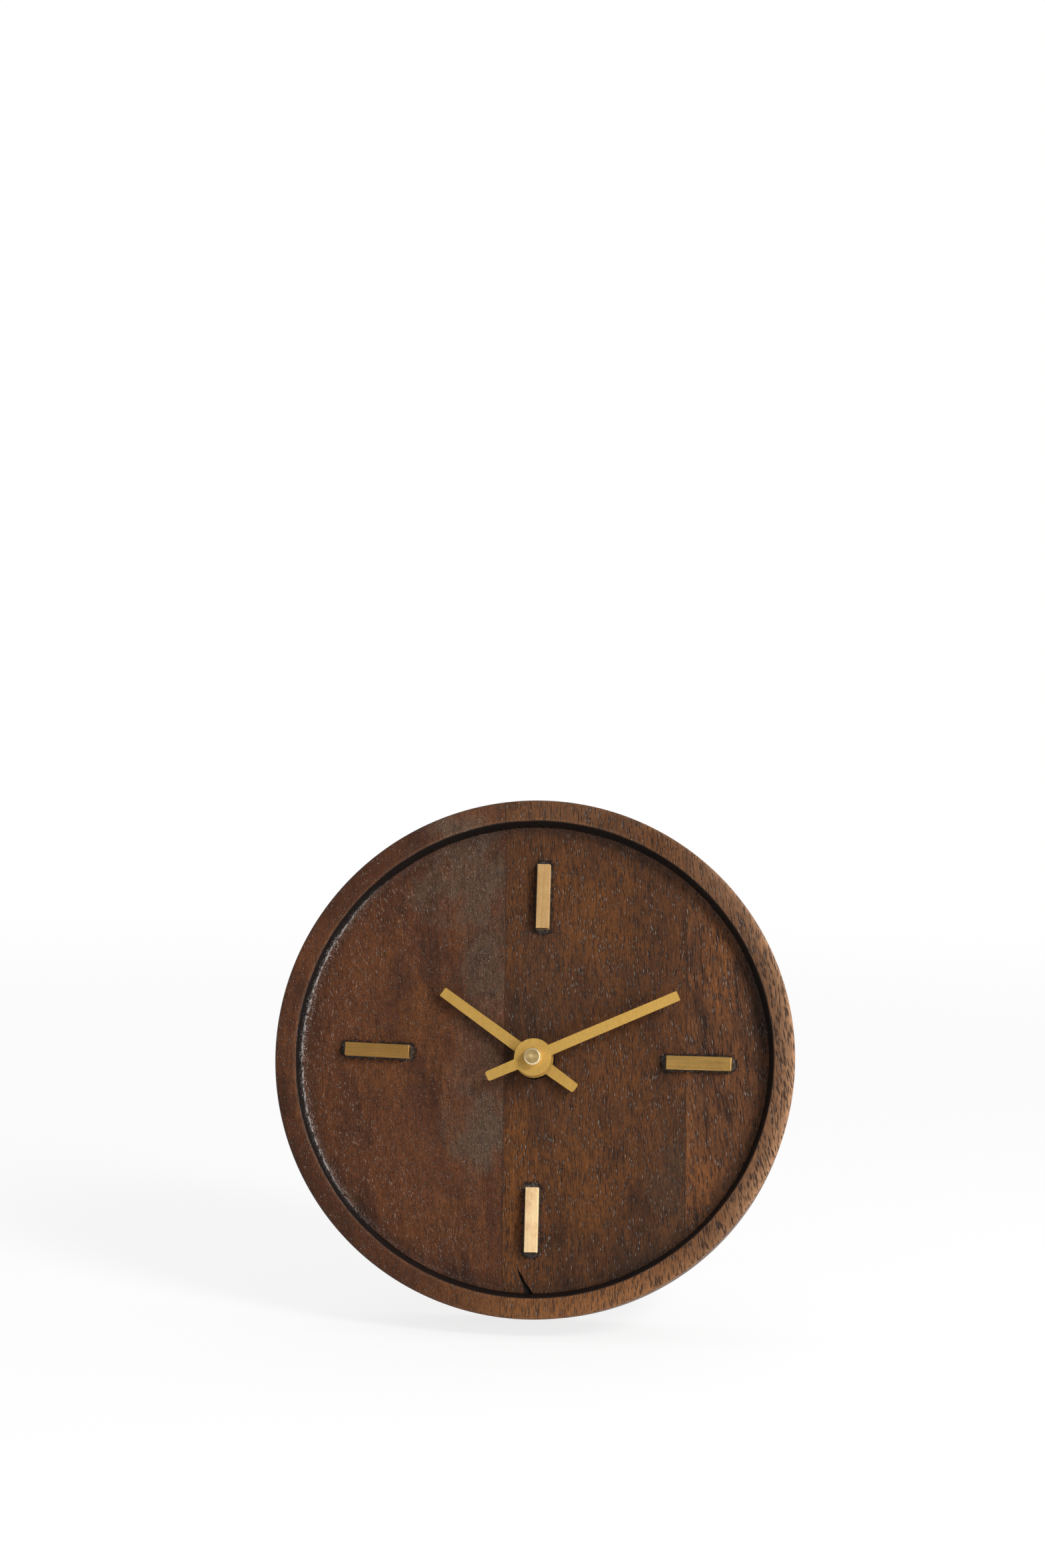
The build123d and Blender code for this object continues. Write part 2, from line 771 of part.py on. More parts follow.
# Coil: bobbin with square flanges, and its winding
coil_start = spot(coil_side, coil_low - flange_thickness, coil_depth)
coil_length = coil_high - coil_low
tube_width = core_width + 2 * bobbin_wall
tube_height = stator_thickness + 2 * bobbin_wall
coil_plane = Plane(origin=coil_start, x_dir=side, z_dir=up_dial)
with BuildPart() as bobbin:
    for rise in (0, coil_length + flange_thickness):
        with BuildSketch(coil_plane.offset(rise)):
            Rectangle(flange_size, flange_size)
        extrude(amount=flange_thickness)
    with BuildSketch(coil_plane):
        Rectangle(tube_width, tube_height)
    extrude(amount=coil_length + 2 * flange_thickness)
    with BuildSketch(coil_plane):
        Rectangle(core_width + 2 * press_gap, stator_thickness + 2 * press_gap)
    extrude(amount=coil_length + 2 * flange_thickness, mode=Mode.SUBTRACT)
save(bobbin.part, "coil_bobbin")

with BuildPart() as winding:
    with BuildSketch(coil_plane.offset(flange_thickness)):
        Circle(coil_radius)
        Rectangle(tube_width, tube_height, mode=Mode.SUBTRACT)
    extrude(amount=coil_length)
save(winding.part, "coil_winding")

# Circuit board on the rear cover's posts, with its chip and crystal
board_back = cover_front - post_height
board_front = board_back - board_thickness
with BuildPart() as circuit_board:
    with BuildSketch(dial_plane(board_back)):
        with Locations(board_centre):
            Rectangle(board_right - board_left, board_high - board_low)
    extrude(amount=board_thickness)
save(circuit_board.part, "circuit_board")

with BuildPart() as chip:
    with BuildSketch(dial_plane(board_front)):
        with Locations(board_centre):
            Circle(chip_size / 2)
    extrude(amount=chip_height)
    fillet(chip.faces().sort_by(dial_axis)[-1].edges(), chip_height / 2)
save(chip.part, "timing_chip")

crystal_x = board_right - 2 * post_radius
crystal_start = spot(crystal_x, board_low + post_radius, board_front - crystal_radius)
with BuildPart() as crystal:
    with BuildSketch(Plane(origin=crystal_start, x_dir=side, z_dir=up_dial)):
        Circle(crystal_radius)
    extrude(amount=crystal_length)
save(crystal.part, "quartz_crystal")

# Battery and its contacts
battery_end = spot(-battery_length / 2, battery_height, battery_depth)
battery_plane = Plane(origin=battery_end, x_dir=up_dial, z_dir=side)
with BuildPart() as battery:
    with BuildSketch(battery_plane):
        Circle(battery_radius)
    extrude(amount=battery_length)
    fillet(battery.edges().filter_by(GeomType.CIRCLE), bobbin_wall)
    with BuildSketch(battery_plane.offset(battery_length)):
        Circle(terminal_radius)
    extrude(amount=terminal_length)
save(battery.part, "battery")

contact_face = case_inside - contact_thickness
with BuildPart() as plus_contact:
    with BuildSketch(battery_plane.offset(battery_length / 2 + contact_face)):
        Rectangle(contact_width, contact_width)
    extrude(amount=contact_thickness)
    with BuildSketch(battery_plane.offset(battery_length + terminal_length)):
        Circle(dimple_radius)
    extrude(amount=contact_face - battery_length / 2 - terminal_length)
save(plus_contact.part, "positive_contact")

leaf_top = battery_height + contact_width / 2
leaf_low = battery_height - contact_width / 2
with BuildPart() as minus_contact:
    with BuildSketch(dial_plane(battery_depth + contact_width / 2)):
        with BuildLine():
            Polyline(
                (-case_inside, leaf_low), (-case_inside, leaf_top),
                (-contact_face, leaf_top), (-battery_length / 2, battery_height),
                (-contact_face, leaf_low), close=True,
            )
        make_face()
        with BuildLine():
            Polyline(
                (-contact_face, leaf_top - 2 * contact_thickness),
                (-battery_length / 2 - contact_thickness, battery_height),
                (-contact_face, leaf_low + 2 * contact_thickness), close=True,
            )
        make_face(mode=Mode.SUBTRACT)
    extrude(amount=contact_width)
save(minus_contact.part, "negative_contact")

# Bracket of the stand: a base on the back of the wood and two ears round the leg
ear_inside = knuckle_length / 2 + ear_gap
leg_top_width = knuckle_length - 2 * leg_inset
bracket_low = pin_height - ear_radius
bracket_high = pin_height + bracket_above_pin
screw_height = pin_height + screw_above_pin
ear_plane = Plane(
    origin=spot(-ear_inside - ear_thickness, pin_height, pin_depth), x_dir=up_dial, z_dir=side
)
bracket_back = body_depth + bracket_thickness
with BuildPart() as bracket:
    with BuildSketch(dial_plane(bracket_back)):
        with Locations((0, (bracket_low + bracket_high) / 2)):
            RectangleRounded(bracket_width, bracket_high - bracket_low, bracket_corner)
    extrude(amount=bracket_thickness)
    for shift in (0, 2 * ear_inside + ear_thickness):
        with BuildSketch(ear_plane.offset(shift)):
            Circle(ear_radius)
            with Locations((0, pin_standoff / 2)):
                Rectangle(2 * ear_radius, pin_standoff)
        extrude(amount=ear_thickness)
    with BuildSketch(ear_plane):
        Circle(pin_radius + press_gap)
    extrude(amount=2 * ear_inside + 2 * ear_thickness, mode=Mode.SUBTRACT)
    with Locations(Plane(origin=spot(0, screw_height, bracket_back), x_dir=side, z_dir=-outward)):
        with GridLocations(screw_spacing, 0, 2, 1):
            CounterSinkHole(screw_radius + press_gap, screw_head_radius + press_gap, overrun * 2)
save(bracket.part, "stand_bracket")

with BuildPart() as pin:
    with BuildSketch(ear_plane):
        Circle(pin_radius)
    extrude(amount=2 * ear_inside + 2 * ear_thickness)
save(pin.part, "hinge_pin")

# Two countersunk screws
head_depth = screw_head_radius - screw_radius
screw_tip = body_depth - screw_length + overrun
with BuildPart() as screws:
    for x in (-screw_spacing / 2, screw_spacing / 2):
        add(turned([
            (0, screw_tip), (screw_radius, screw_tip + screw_radius),
            (screw_radius, bracket_back - head_depth), (screw_head_radius, bracket_back),
            (0, bracket_back),
        ], (x, screw_height)))
    with BuildSketch(dial_plane(bracket_back, height=screw_height)):
        with GridLocations(screw_spacing, 0, 2, 1):
            Rectangle(2 * screw_head_radius, screw_slot_width)
            Rectangle(screw_slot_width, 2 * screw_head_radius)
    extrude(amount=screw_slot_depth, mode=Mode.SUBTRACT)
save(screws.part, "bracket_screws")

# Leg: a tapered plate with a knuckle round the pin and a tail that stops on the bracket
leg_down = Vector(0, sin(radians(leg_rake)), -cos(radians(leg_rake)))
leg_back = Vector(0, cos(radians(leg_rake)), sin(radians(leg_rake)))
pin_centre = spot(0, pin_height, pin_depth)
leg_plane = Plane(origin=pin_centre + leg_back * (leg_thickness / 2), x_dir=side, z_dir=-leg_back)
leg_length = (pin_z - foot_floor) / cos(radians(leg_rake))
knuckle_plane = Plane(origin=pin_centre - side * (knuckle_length / 2), x_dir=leg_down, z_dir=side)
with BuildPart() as leg:
    with BuildSketch(leg_plane) as leg_outline:
        with BuildLine():
            Polyline(
                (-leg_top_width / 2, leg_tail), (leg_top_width / 2, leg_tail),
                (leg_top_width / 2, -knuckle_radius), (leg_foot_width / 2, -leg_length),
                (-leg_foot_width / 2, -leg_length), (-leg_top_width / 2, -knuckle_radius),
                close=True,
            )
        make_face()
        fillet(leg_outline.vertices().group_by(Axis.Y)[-1], leg_corner)
    extrude(amount=leg_thickness)
    with BuildSketch(knuckle_plane):
        Circle(knuckle_radius)
    extrude(amount=knuckle_length)
    with BuildSketch(knuckle_plane):
        Circle(pin_radius + running_gap)
    extrude(amount=knuckle_length, mode=Mode.SUBTRACT)
save(leg.part, "stand_leg")

# Rubber foot, with a slot that the end of the leg is pushed into
foot_y = pin_centre.Y + leg_run
with BuildPart() as foot:
    with BuildSketch(Plane(origin=(0, foot_y, 0), x_dir=side, z_dir=(0, 0, 1))):
        Rectangle(foot_width, foot_length)
    extrude(amount=foot_height)
    fillet(foot.edges().filter_by(Axis.Z), foot_round)
    fillet(foot.faces().sort_by(Axis.Z)[-1].edges(), foot_round)
    with BuildSketch(leg_plane.offset(-press_gap)):
        with Locations((0, -leg_length / 2)):
            Rectangle(leg_foot_width + 2 * press_gap, leg_length + 2 * press_gap)
    extrude(amount=leg_thickness + 2 * press_gap, mode=Mode.SUBTRACT)
save(foot.part, "leg_foot")

print("face centre", [round(value, 3) for value in face_centre])
print("hinge pin", [round(value, 3) for value in pin_centre])
print("seat depth back", round(face_y + body_depth * cos(radians(lean)), 3))
print("fold angle", round(lean + leg_rake, 3))
print("motion centre", [round(value, 3) for value in spot(*motion_centre, 0)])
for label, place in (
    ("third", third_centre), ("seconds", seconds_centre),
    ("intermediate", intermediate_centre), ("rotor", rotor_centre),
):
    print(label, [round(value, 3) for value in spot(*place, 0)])
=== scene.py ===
import json
import math

import bmesh
import bpy
from mathutils import Matrix, Vector, noise


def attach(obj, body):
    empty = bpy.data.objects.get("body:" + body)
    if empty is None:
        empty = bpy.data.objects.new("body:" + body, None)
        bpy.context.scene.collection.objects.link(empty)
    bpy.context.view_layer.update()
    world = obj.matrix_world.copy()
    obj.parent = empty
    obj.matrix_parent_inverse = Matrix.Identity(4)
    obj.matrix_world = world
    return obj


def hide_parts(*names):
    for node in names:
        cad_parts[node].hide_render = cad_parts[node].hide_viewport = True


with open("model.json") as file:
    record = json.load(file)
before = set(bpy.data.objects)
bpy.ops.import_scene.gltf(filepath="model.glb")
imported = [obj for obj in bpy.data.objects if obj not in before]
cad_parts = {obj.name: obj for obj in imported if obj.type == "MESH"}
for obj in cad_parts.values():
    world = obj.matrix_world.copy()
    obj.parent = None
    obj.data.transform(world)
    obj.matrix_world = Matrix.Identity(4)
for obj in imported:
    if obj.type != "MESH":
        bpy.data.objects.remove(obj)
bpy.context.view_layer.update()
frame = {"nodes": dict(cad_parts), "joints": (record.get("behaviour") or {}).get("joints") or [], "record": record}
nodes = frame["nodes"]
print("frame loaded:", len(nodes), "nodes")

mm = 0.001
metresToMm = 1000.0

# The dial's own directions, from the axle of the hands. x is across, y up the dial, z out of it.
handAxle = next(joint for joint in frame["joints"] if joint["name"] == "minute_turn")
faceCentre = Vector(handAxle["pos_m"])
outward = -Vector(handAxle["axis"]).normalized()
across = Vector((1, 0, 0))
upDial = outward.cross(across)
dialSpace = Matrix.Translation(faceCentre) @ Matrix((across, upDial, outward)).transposed().to_4x4()
toDial = dialSpace.inverted()


def dialPoints(nodeName):
    # a CAD node's points in the dial's directions, in mm
    return [(toDial @ v.co) * metresToMm for v in nodes[nodeName].data.vertices]


def spread(points, axis):
    values = [p[axis] for p in points]
    return min(values), max(values)


def heading(angle):
    return Vector((math.cos(angle), math.sin(angle)))


def uneven(x, y, z):
    # smooth noise, from about -1 to 1
    return noise.noise(Vector((x, y, z)))


def addObject(name, data):
    thing = bpy.data.objects.new(name, data)
    bpy.context.scene.collection.objects.link(thing)
    return thing


# Meshes: everything is drawn in mm in the dial's directions and then brought to metres

def makePiece(bm, name, materials, body, stands=(), sharp=32):
    bmesh.ops.recalc_face_normals(bm, faces=bm.faces)
    bmesh.ops.scale(bm, vec=(mm, mm, mm), verts=bm.verts)
    mesh = bpy.data.meshes.new(name)
    bm.to_mesh(mesh)
    bm.free()
    for material in materials:
        mesh.materials.append(material)
    mesh.shade_smooth()
    mesh.set_sharp_from_angle(angle=math.radians(sharp))
    piece = addObject(name, mesh)
    piece.matrix_world = dialSpace
    if body:
        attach(piece, body)
    if stands:
        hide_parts(*stands)
    return piece


def carve(piece, cutter, operation="DIFFERENCE"):
    # a boolean that keeps the cutter's own materials on the new faces
    modifier = piece.modifiers.new("carve", "BOOLEAN")
    modifier.operation = operation
    modifier.solver = "EXACT"
    modifier.material_mode = "TRANSFER"
    modifier.object = cutter
    bpy.context.view_layer.update()
    carved = bpy.data.meshes.new_from_object(piece.evaluated_get(bpy.context.evaluated_depsgraph_get()))
    piece.modifiers.clear()
    piece.data = carved
    bpy.data.objects.remove(cutter)


def evenShading(piece):
    # keeps the flats flat beside their rounded edges
    modifier = piece.modifiers.new("evenShading", "WEIGHTED_NORMAL")
    modifier.keep_sharp = True


def roundCorners(corners, radii, arcStep):
    line = []
    for i, radius in enumerate(radii):
        corner = Vector(corners[i])
        if not radius:
            line.append(corner)
            continue
        before = (Vector(corners[i - 1]) - corner).normalized()
        after = (Vector(corners[(i + 1) % len(corners)]) - corner).normalized()
        half = before.angle(after) / 2
        centre = corner + (before + after).normalized() * (radius / math.sin(half))
        start = corner + before * (radius / math.tan(half)) - centre
        end = corner + after * (radius / math.tan(half)) - centre
        steps = max(2, round((math.pi - 2 * half) * radius / arcStep))
        for k in range(steps + 1):
            line.append(centre + start.lerp(end, k / steps).normalized() * radius)
    return line


def fillIn(line, spacing):
    # extra points, so that no stretch is longer than the spacing
    full = [line[0]]
    for start, end in zip(line, line[1:]):
        steps = max(1, math.ceil((end - start).length / spacing))
        full += [start.lerp(end, k / steps) for k in range(1, steps + 1)]
    return full


def joinRings(bm, rings):
    # faces between closed rings of points, where a ring may be a single point
    faces = []
    for ringA, ringB in zip(rings, rings[1:]):
        for k in range(max(len(ringA), len(ringB))):
            now, after = [(ringA[i % len(ringA)], ringB[i % len(ringB)]) for i in (k, k + 1)]
            corners = list(dict.fromkeys(now + after[::-1]))
            if len(corners) > 2:
                faces.append(bm.faces.new(corners))
    return faces


def onCircle(radius, angle, height):
    return radius * math.cos(angle), radius * math.sin(angle), height


def turnOnLathe(bm, line, segments, place=onCircle):
    # a half section of (radius, height) points turned round the dial's axis
    joinRings(bm, [
        [bm.verts.new(place(radius, 2 * math.pi * k / segments, height))
         for k in range(1 if radius < 1e-6 else segments)] for radius, height in line])


def raisePrism(bm, outline, low, high, materialIndex=0):
    # a flat outline of (x, y) points carried from one height to another
    bottom = [bm.verts.new((x, y, low)) for x, y in outline]
    top = [bm.verts.new((x, y, high)) for x, y in outline]
    for face in [bm.faces.new(bottom[::-1]), bm.faces.new(top)] + joinRings(bm, [top, bottom]):
        face.material_index = materialIndex


def circleOutline(radius, centre=(0, 0), segments=96):
    angles = [2 * math.pi * k / segments for k in range(segments)]
    return [(centre[0] + radius * math.cos(a), centre[1] + radius * math.sin(a)) for a in angles]


# Node trees: a small pad for each material, with lengths in mm

def tone(red, green, blue):
    # a colour given as it looks on screen, 0 to 255
    channels = [c / 255 for c in (red, green, blue)]
    return tuple(c / 12.92 if c <= 0.04045 else ((c + 0.055) / 1.055) ** 2.4 for c in channels) + (1.0,)


class NodePad:
    def __init__(self, owner, outputKind):
        owner.use_nodes = True
        self.tree = owner.node_tree
        self.tree.nodes.clear()
        self.output = self.add(outputKind)

    def add(self, kind, sockets=None, **settings):
        node = self.tree.nodes.new("ShaderNode" + kind)
        for name, value in settings.items():
            setattr(node, name, value)
        for socket, value in (sockets or {}).items():
            self.feed(node.inputs[socket], value)
        return node

    def feed(self, socket, value):
        if isinstance(value, bpy.types.NodeSocket):
            self.tree.links.new(value, socket)
        else:
            socket.default_value = value

    def show(self, shader):
        self.feed(self.output.inputs["Surface"], shader.outputs[0])

    def maths(self, operation, a, b=0.0):
        return self.add("Math", {0: a, 1: b}, operation=operation).outputs[0]

    def chain(self, operation, first, *others):
        result = first
        for other in others:
            result = self.maths(operation, result, other)
        return result

    def times(self, *values):
        return self.chain("MULTIPLY", *values)

    def plus(self, *values):
        return self.chain("ADD", *values)

    def most(self, *values):
        return self.chain("MAXIMUM", *values)

    def minus(self, value, other):
        return self.maths("SUBTRACT", value, other)

    def ease(self, value, start, end, low=0.0, high=1.0):
        return self.add("MapRange", {
            "Value": value, "From Min": start, "From Max": end, "To Min": low, "To Max": high,
        }, interpolation_type="SMOOTHSTEP").outputs[0]

    def size(self, value):
        return self.maths("ABSOLUTE", value)

    def vector(self, operation, a, b=(0, 0, 0)):
        return self.add("VectorMath", {0: a, 1: b}, operation=operation).outputs[0]

    def measure(self, vector):
        return self.add("VectorMath", {0: vector}, operation="LENGTH").outputs["Value"]

    def parts(self, vector):
        return self.add("SeparateXYZ", {0: vector}).outputs

    def turned(self, vector, angle):
        return self.add("VectorRotate", {"Vector": vector, "Angle": angle}, rotation_type="Z_AXIS").outputs[0]


class FinishPad(NodePad):
    def __init__(self, name, turn=0.0):
        self.material = bpy.data.materials.new(name)
        super().__init__(self.material, "OutputMaterial")
        self.shader = self.add("BsdfPrincipled")
        self.show(self.shader)
        self.place = self.add("Mapping", {
            "Vector": self.add("TexCoord").outputs["Object"], "Scale": (metresToMm,) * 3,
            "Rotation": (0, 0, math.radians(turn)),
        }).outputs[0]

    def set(self, **sockets):
        for name, value in sockets.items():
            self.feed(self.shader.inputs[name.replace("_", " ")], value)

    def sized(self, size, shift, source=None):
        return self.add("Mapping", {
            "Vector": source or self.place, "Scale": tuple(1 / s for s in size), "Location": shift,
        }).outputs[0]

    def cloud(self, size, detail=2.0, rough=0.5, shift=(0, 0, 0), source=None):
        return self.add("TexNoise", {
            "Vector": self.sized(size, shift, source), "Scale": 1.0, "Detail": detail, "Roughness": rough,
        }).outputs[0]

    def pores(self, size, shareLeftOut, shift, near=0.20, far=0.48, source=None):
        # scattered small spots, stretched to the size, with a share of them left out
        cells = self.add("TexVoronoi", {"Vector": self.sized(size, shift, source), "Scale": 1.0})
        chosen = self.maths("GREATER_THAN", self.parts(cells.outputs["Color"])[0], shareLeftOut)
        return self.times(self.ease(cells.outputs["Distance"], far, near), chosen)

    def blend(self, share, a, b):
        return self.add("Mix", {0: share, 6: a, 7: b}, data_type="RGBA").outputs[2]

    def grade(self, colour, amount):
        # lighter or darker by an amount that may vary over the surface
        if not isinstance(colour, bpy.types.NodeSocket):
            colour = colour[:3]
        return self.add("VectorMath", {0: colour, "Scale": amount}, operation="SCALE").outputs[0]

    def bump(self, height, depth, strength=1.0, below=None):
        sockets = {"Height": height, "Distance": depth * mm, "Strength": strength}
        if below:
            sockets["Normal"] = below
        return self.add("Bump", sockets).outputs[0]


# The wooden body: sizes in mm

body = {
    "rimWidth": 6.6,
    "recessDepth": 5.0,
    "wallSlope": 1.4,
    "cove": 1.5,
    "innerRound": 0.7,
    "frontRound": 1.0,
    "backRound": 1.0,
    "jointLeft": -9.4,
    "jointRight": 46.7,
    "grainTurn": 1.8,
    "wellRadius": 6.3,
    "wellDepth": 3.0,
    "bushHole": 4.3,
    "pocketDepth": 18.0,
    "pocketSize": 57.2,
    "pocketCorner": 3.6,
    "pilotRadius": 1.52,
    "pilotDepth": 12.0,
    "segments": 720,
    "arcStep": 0.16,            # length of a facet on the rounded edges of the section
    "longestStep": 2.6,         # and on its straight parts
    "cutPast": 1.0,             # how far the cutters run past a face
    "waviness": 0.05,           # how far turning and sanding left the surfaces uneven
    "waves": (14, 22, 12),      # how long those waves are across, up and into the wood
    "edgeWaviness": 0.16,       # the same for the rim's inner edge
    "edgeWaves": (6, 1.7),
    "edgeBand": (1.2, 1.6),     # how far the uneven edge reaches, along the rim and into the recess
}
body["radius"] = -spread(dialPoints("body_left_board"), 0)[0]
body["depth"] = -spread(dialPoints("body_left_board"), 2)[0]
body["rimRadius"] = body["radius"] - body["rimWidth"]
body["recessRadius"] = body["rimRadius"] - body["wallSlope"]

bars = {
    "endGap": 1.5,
    "sideGap": 0.6,
    "sink": 2.8,
    "raggedness": 0.48,         # how unevenly the slots were routed
    "raggedScales": (0.7, 2.3),
    "slotSteps": 200,
    "edge": 0.22,
    "stroke": (0.12, 16, 0.12),     # the brushing across, along and into the bar
    "rough": 0.48,
    "anisotropy": 0.93,
    "grain": 0.16,
    "patina": 0.35,
    "darkColour": tone(176, 130, 74),
    # one brass in four colours: each bar is painted lighter or darker for the light it catches, the bar at 6
    # lightest
    "marker_12": tone(214, 174, 118),
    "marker_3": tone(230, 184, 106),
    "marker_6": tone(255, 220, 170),
    "marker_9": tone(203, 156, 87),
}


def barPlace(nodeName):
    # centre, direction along the bar, half length, half width and the top's height
    points = dialPoints(nodeName)
    centre = sum((p.xy for p in points), Vector((0, 0))) / len(points)
    far = max(points, key=lambda p: (p.xy - centre).length).xy
    mates = [p.xy for p in points if (p.xy - far).length > 1 and (p.xy - far).length < 8]
    acrossBar = (mates[0] - far).normalized()
    along = Vector((acrossBar.y, -acrossBar.x))
    if abs(along.x) > abs(along.y) and along.x < 0 or abs(along.y) >= abs(along.x) and along.y < 0:
        along = -along
    halfLength = max(abs((p.xy - centre) @ along) for p in points)
    halfWidth = max(abs((p.xy - centre) @ acrossBar) for p in points)
    return centre, along, halfLength, halfWidth, spread(points, 2)


barNodes = ["marker_12", "marker_3", "marker_6", "marker_9"]
barPlaces = {name: barPlace(name) for name in barNodes}


def slotPoint(name, share, turnShare, grow=0.0):
    # a point of the routed slot: turnShare goes once round it, share runs from its spine to its edge
    centre, along, halfLength, halfWidth, _ = barPlaces[name]
    acrossBar = Vector((-along.y, along.x))
    endRadius = halfWidth + bars["sideGap"]
    spine = halfLength + bars["endGap"] - endRadius
    half = 2 * spine + math.pi * endRadius
    walk = turnShare * 2 * half
    side, walk = (1, walk) if walk < half else (-1, walk - half)
    foot, normal = Vector((walk - spine, 0)), Vector((0, -1))
    if walk >= 2 * spine:
        foot, normal = Vector((spine, 0)), heading((walk - 2 * spine) / endRadius - math.pi / 2)
    foot, normal = foot * side, normal * side
    edge = foot + normal * endRadius
    coarseScale, fineScale = bars["raggedScales"]
    seed = barNodes.index(name) * 9.0
    wander = uneven(edge.x * coarseScale, edge.y * coarseScale, seed)
    fine = uneven(edge.x * fineScale, edge.y * fineScale, 40.0 + seed)
    reach = endRadius + bars["raggedness"] * (wander + 0.6 * fine) + grow
    local = foot + normal * reach * share
    return centre + along * local.x + acrossBar * local.y


def wavyBody(radius, angle, height):
    x, y = radius * math.cos(angle), radius * math.sin(angle)
    waveX, waveY, waveZ = body["waves"]
    lift = body["waviness"] * uneven(x / waveX, y / waveY, height / waveZ)
    alongBand, downBand = body["edgeBand"]
    nearEdge = max(0.0, 1 - abs(radius - body["rimRadius"]) / alongBand) * max(0.0, 1 + height / downBand)
    long, short = body["edgeWaves"]
    slide = body["edgeWaviness"] * nearEdge * uneven(x / long, y / long, 5.0)
    slide += 0.4 * body["edgeWaviness"] * nearEdge * uneven(x / short, y / short, 9.0)
    onFace = radius < body["radius"] - body["frontRound"] - 0.01 and height > -body["recessDepth"] - 1
    radius += slide
    x, y = radius * math.cos(angle), radius * math.sin(angle)
    return x, y, height + (lift - body["waviness"] if onFace else 0.0)


crack = {
    # a filled split in the middle board, by the lower rim: half width at shares of its length
    "start": (-2.6, -64.6),
    "end": (1.9, -73.4),
    "halfWidths": (0.05, 0.30, 0.55, 0.45, 0.85, 1.05, 1.40),
    "depth": 0.9,
    "above": 0.9,               # how far its cutter stands over the floor
    "ragged": 0.16,
    "raggedScale": 19,
    "stepsPerWidth": 4,
}


def crackOutline():
    start, end = Vector(crack["start"]), Vector(crack["end"])
    direction = (end - start).normalized()
    acrossCrack = Vector((-direction.y, direction.x))
    widths = crack["halfWidths"]
    steps = crack["stepsPerWidth"] * len(widths)
    sides = []
    for side, seed in ((1, 3.0), (-1, 8.0)):
        line = []
        for k in range(steps):
            share = k / (steps - 1)
            spot = share * (len(widths) - 1)
            low = min(int(spot), len(widths) - 2)
            width = widths[low] + (widths[low + 1] - widths[low]) * (spot - low)
            ragged = crack["ragged"] * uneven(share * crack["raggedScale"], seed, 0)
            line.append(start.lerp(end, share) + acrossCrack * (side * (width + ragged)))
        sides.append(line)
    return sides[0] + sides[1][::-1]


def roundedSquare(size, corner):
    half = size / 2
    return roundCorners([(-half, -half), (half, -half), (half, half), (-half, half)], [corner] * 4, 0.4)


def buildBody(cutMaterials):
    floor, back = -body["recessDepth"], -body["depth"]
    line = roundCorners(
        [(0, floor), (body["recessRadius"], floor), (body["rimRadius"], 0), (body["radius"], 0),
         (body["radius"], back), (0, back)],
        [0, body["cove"], body["innerRound"], body["frontRound"], body["backRound"], 0], body["arcStep"])
    bm = bmesh.new()
    turnOnLathe(bm, fillIn(line, body["longestStep"]), body["segments"], wavyBody)
    # the flat that it stands on
    groundPoint = toDial @ Vector((0, 0, 0)) * metresToMm
    groundUp = toDial.to_3x3() @ Vector((0, 0, 1))
    sawOff(bm, groundPoint, -groundUp)
    whole = makePiece(bm, "body_whole", [], None)

    above, behind = floor + body["cutPast"], back - body["cutPast"]
    wellFloor = floor - body["wellDepth"]
    cutters = bmesh.new()
    for name in barNodes:
        outline = [slotPoint(name, 1.0, k / bars["slotSteps"]) for k in range(bars["slotSteps"])]
        raisePrism(cutters, outline, floor - bars["sink"], above, 0)
    turnOnLathe(cutters, [(0, above), (body["wellRadius"], above), (body["wellRadius"], wellFloor),
                          (0, wellFloor)], 128)
    raisePrism(cutters, crackOutline(), floor - crack["depth"], floor + crack["above"], 2)
    raisePrism(cutters, roundedSquare(body["pocketSize"], body["pocketCorner"]),
               behind, back + body["pocketDepth"], 1)
    for point in pilotHoles():
        raisePrism(cutters, circleOutline(body["pilotRadius"], point, 32), behind, back + body["pilotDepth"], 1)
    carve(whole, makePiece(cutters, "body_cutters", cutMaterials, None))
    hole = bmesh.new()
    raisePrism(hole, circleOutline(body["bushHole"]), back, floor, 1)
    carve(whole, makePiece(hole, "body_hole", cutMaterials, None))
    return whole


def pilotHoles():
    screws = dialPoints("bracket_screws")
    return [[sum(spread([p for p in screws if p.x * way > 0], axis)) / 2 for axis in (0, 1)]
            for way in (-1, 1)]


def sawOff(bm, point, normal):
    # cuts away what lies beyond the plane and closes the cut
    cut = bmesh.ops.bisect_plane(
        bm, geom=bm.verts[:] + bm.edges[:] + bm.faces[:], plane_co=point, plane_no=normal,
        dist=1e-4, clear_outer=True)
    edges = [e for e in cut["geom_cut"] if isinstance(e, bmesh.types.BMEdge) and e.is_boundary]
    bmesh.ops.holes_fill(bm, edges=edges, sides=0)


def jointPlane(x):
    return Vector((x, 0, 0)), heading(math.radians(body["grainTurn"])).to_3d()


def sawBoard(whole, side, cuts):
    bm = bmesh.new()
    bm.from_mesh(whole.data)
    bmesh.ops.scale(bm, vec=(metresToMm,) * 3, verts=bm.verts)
    for joint, way in cuts:
        point, normal = jointPlane(joint)
        sawOff(bm, point, normal * way)
    # the cut materials keep their slots, and the first becomes the board's own wood
    materials = [woodFinish(side, wood[side])] + list(whole.data.materials)[1:]
    makePiece(bm, f"clock_{side}_board", materials, "case", (f"body_{side}_board",))


# Wood finish

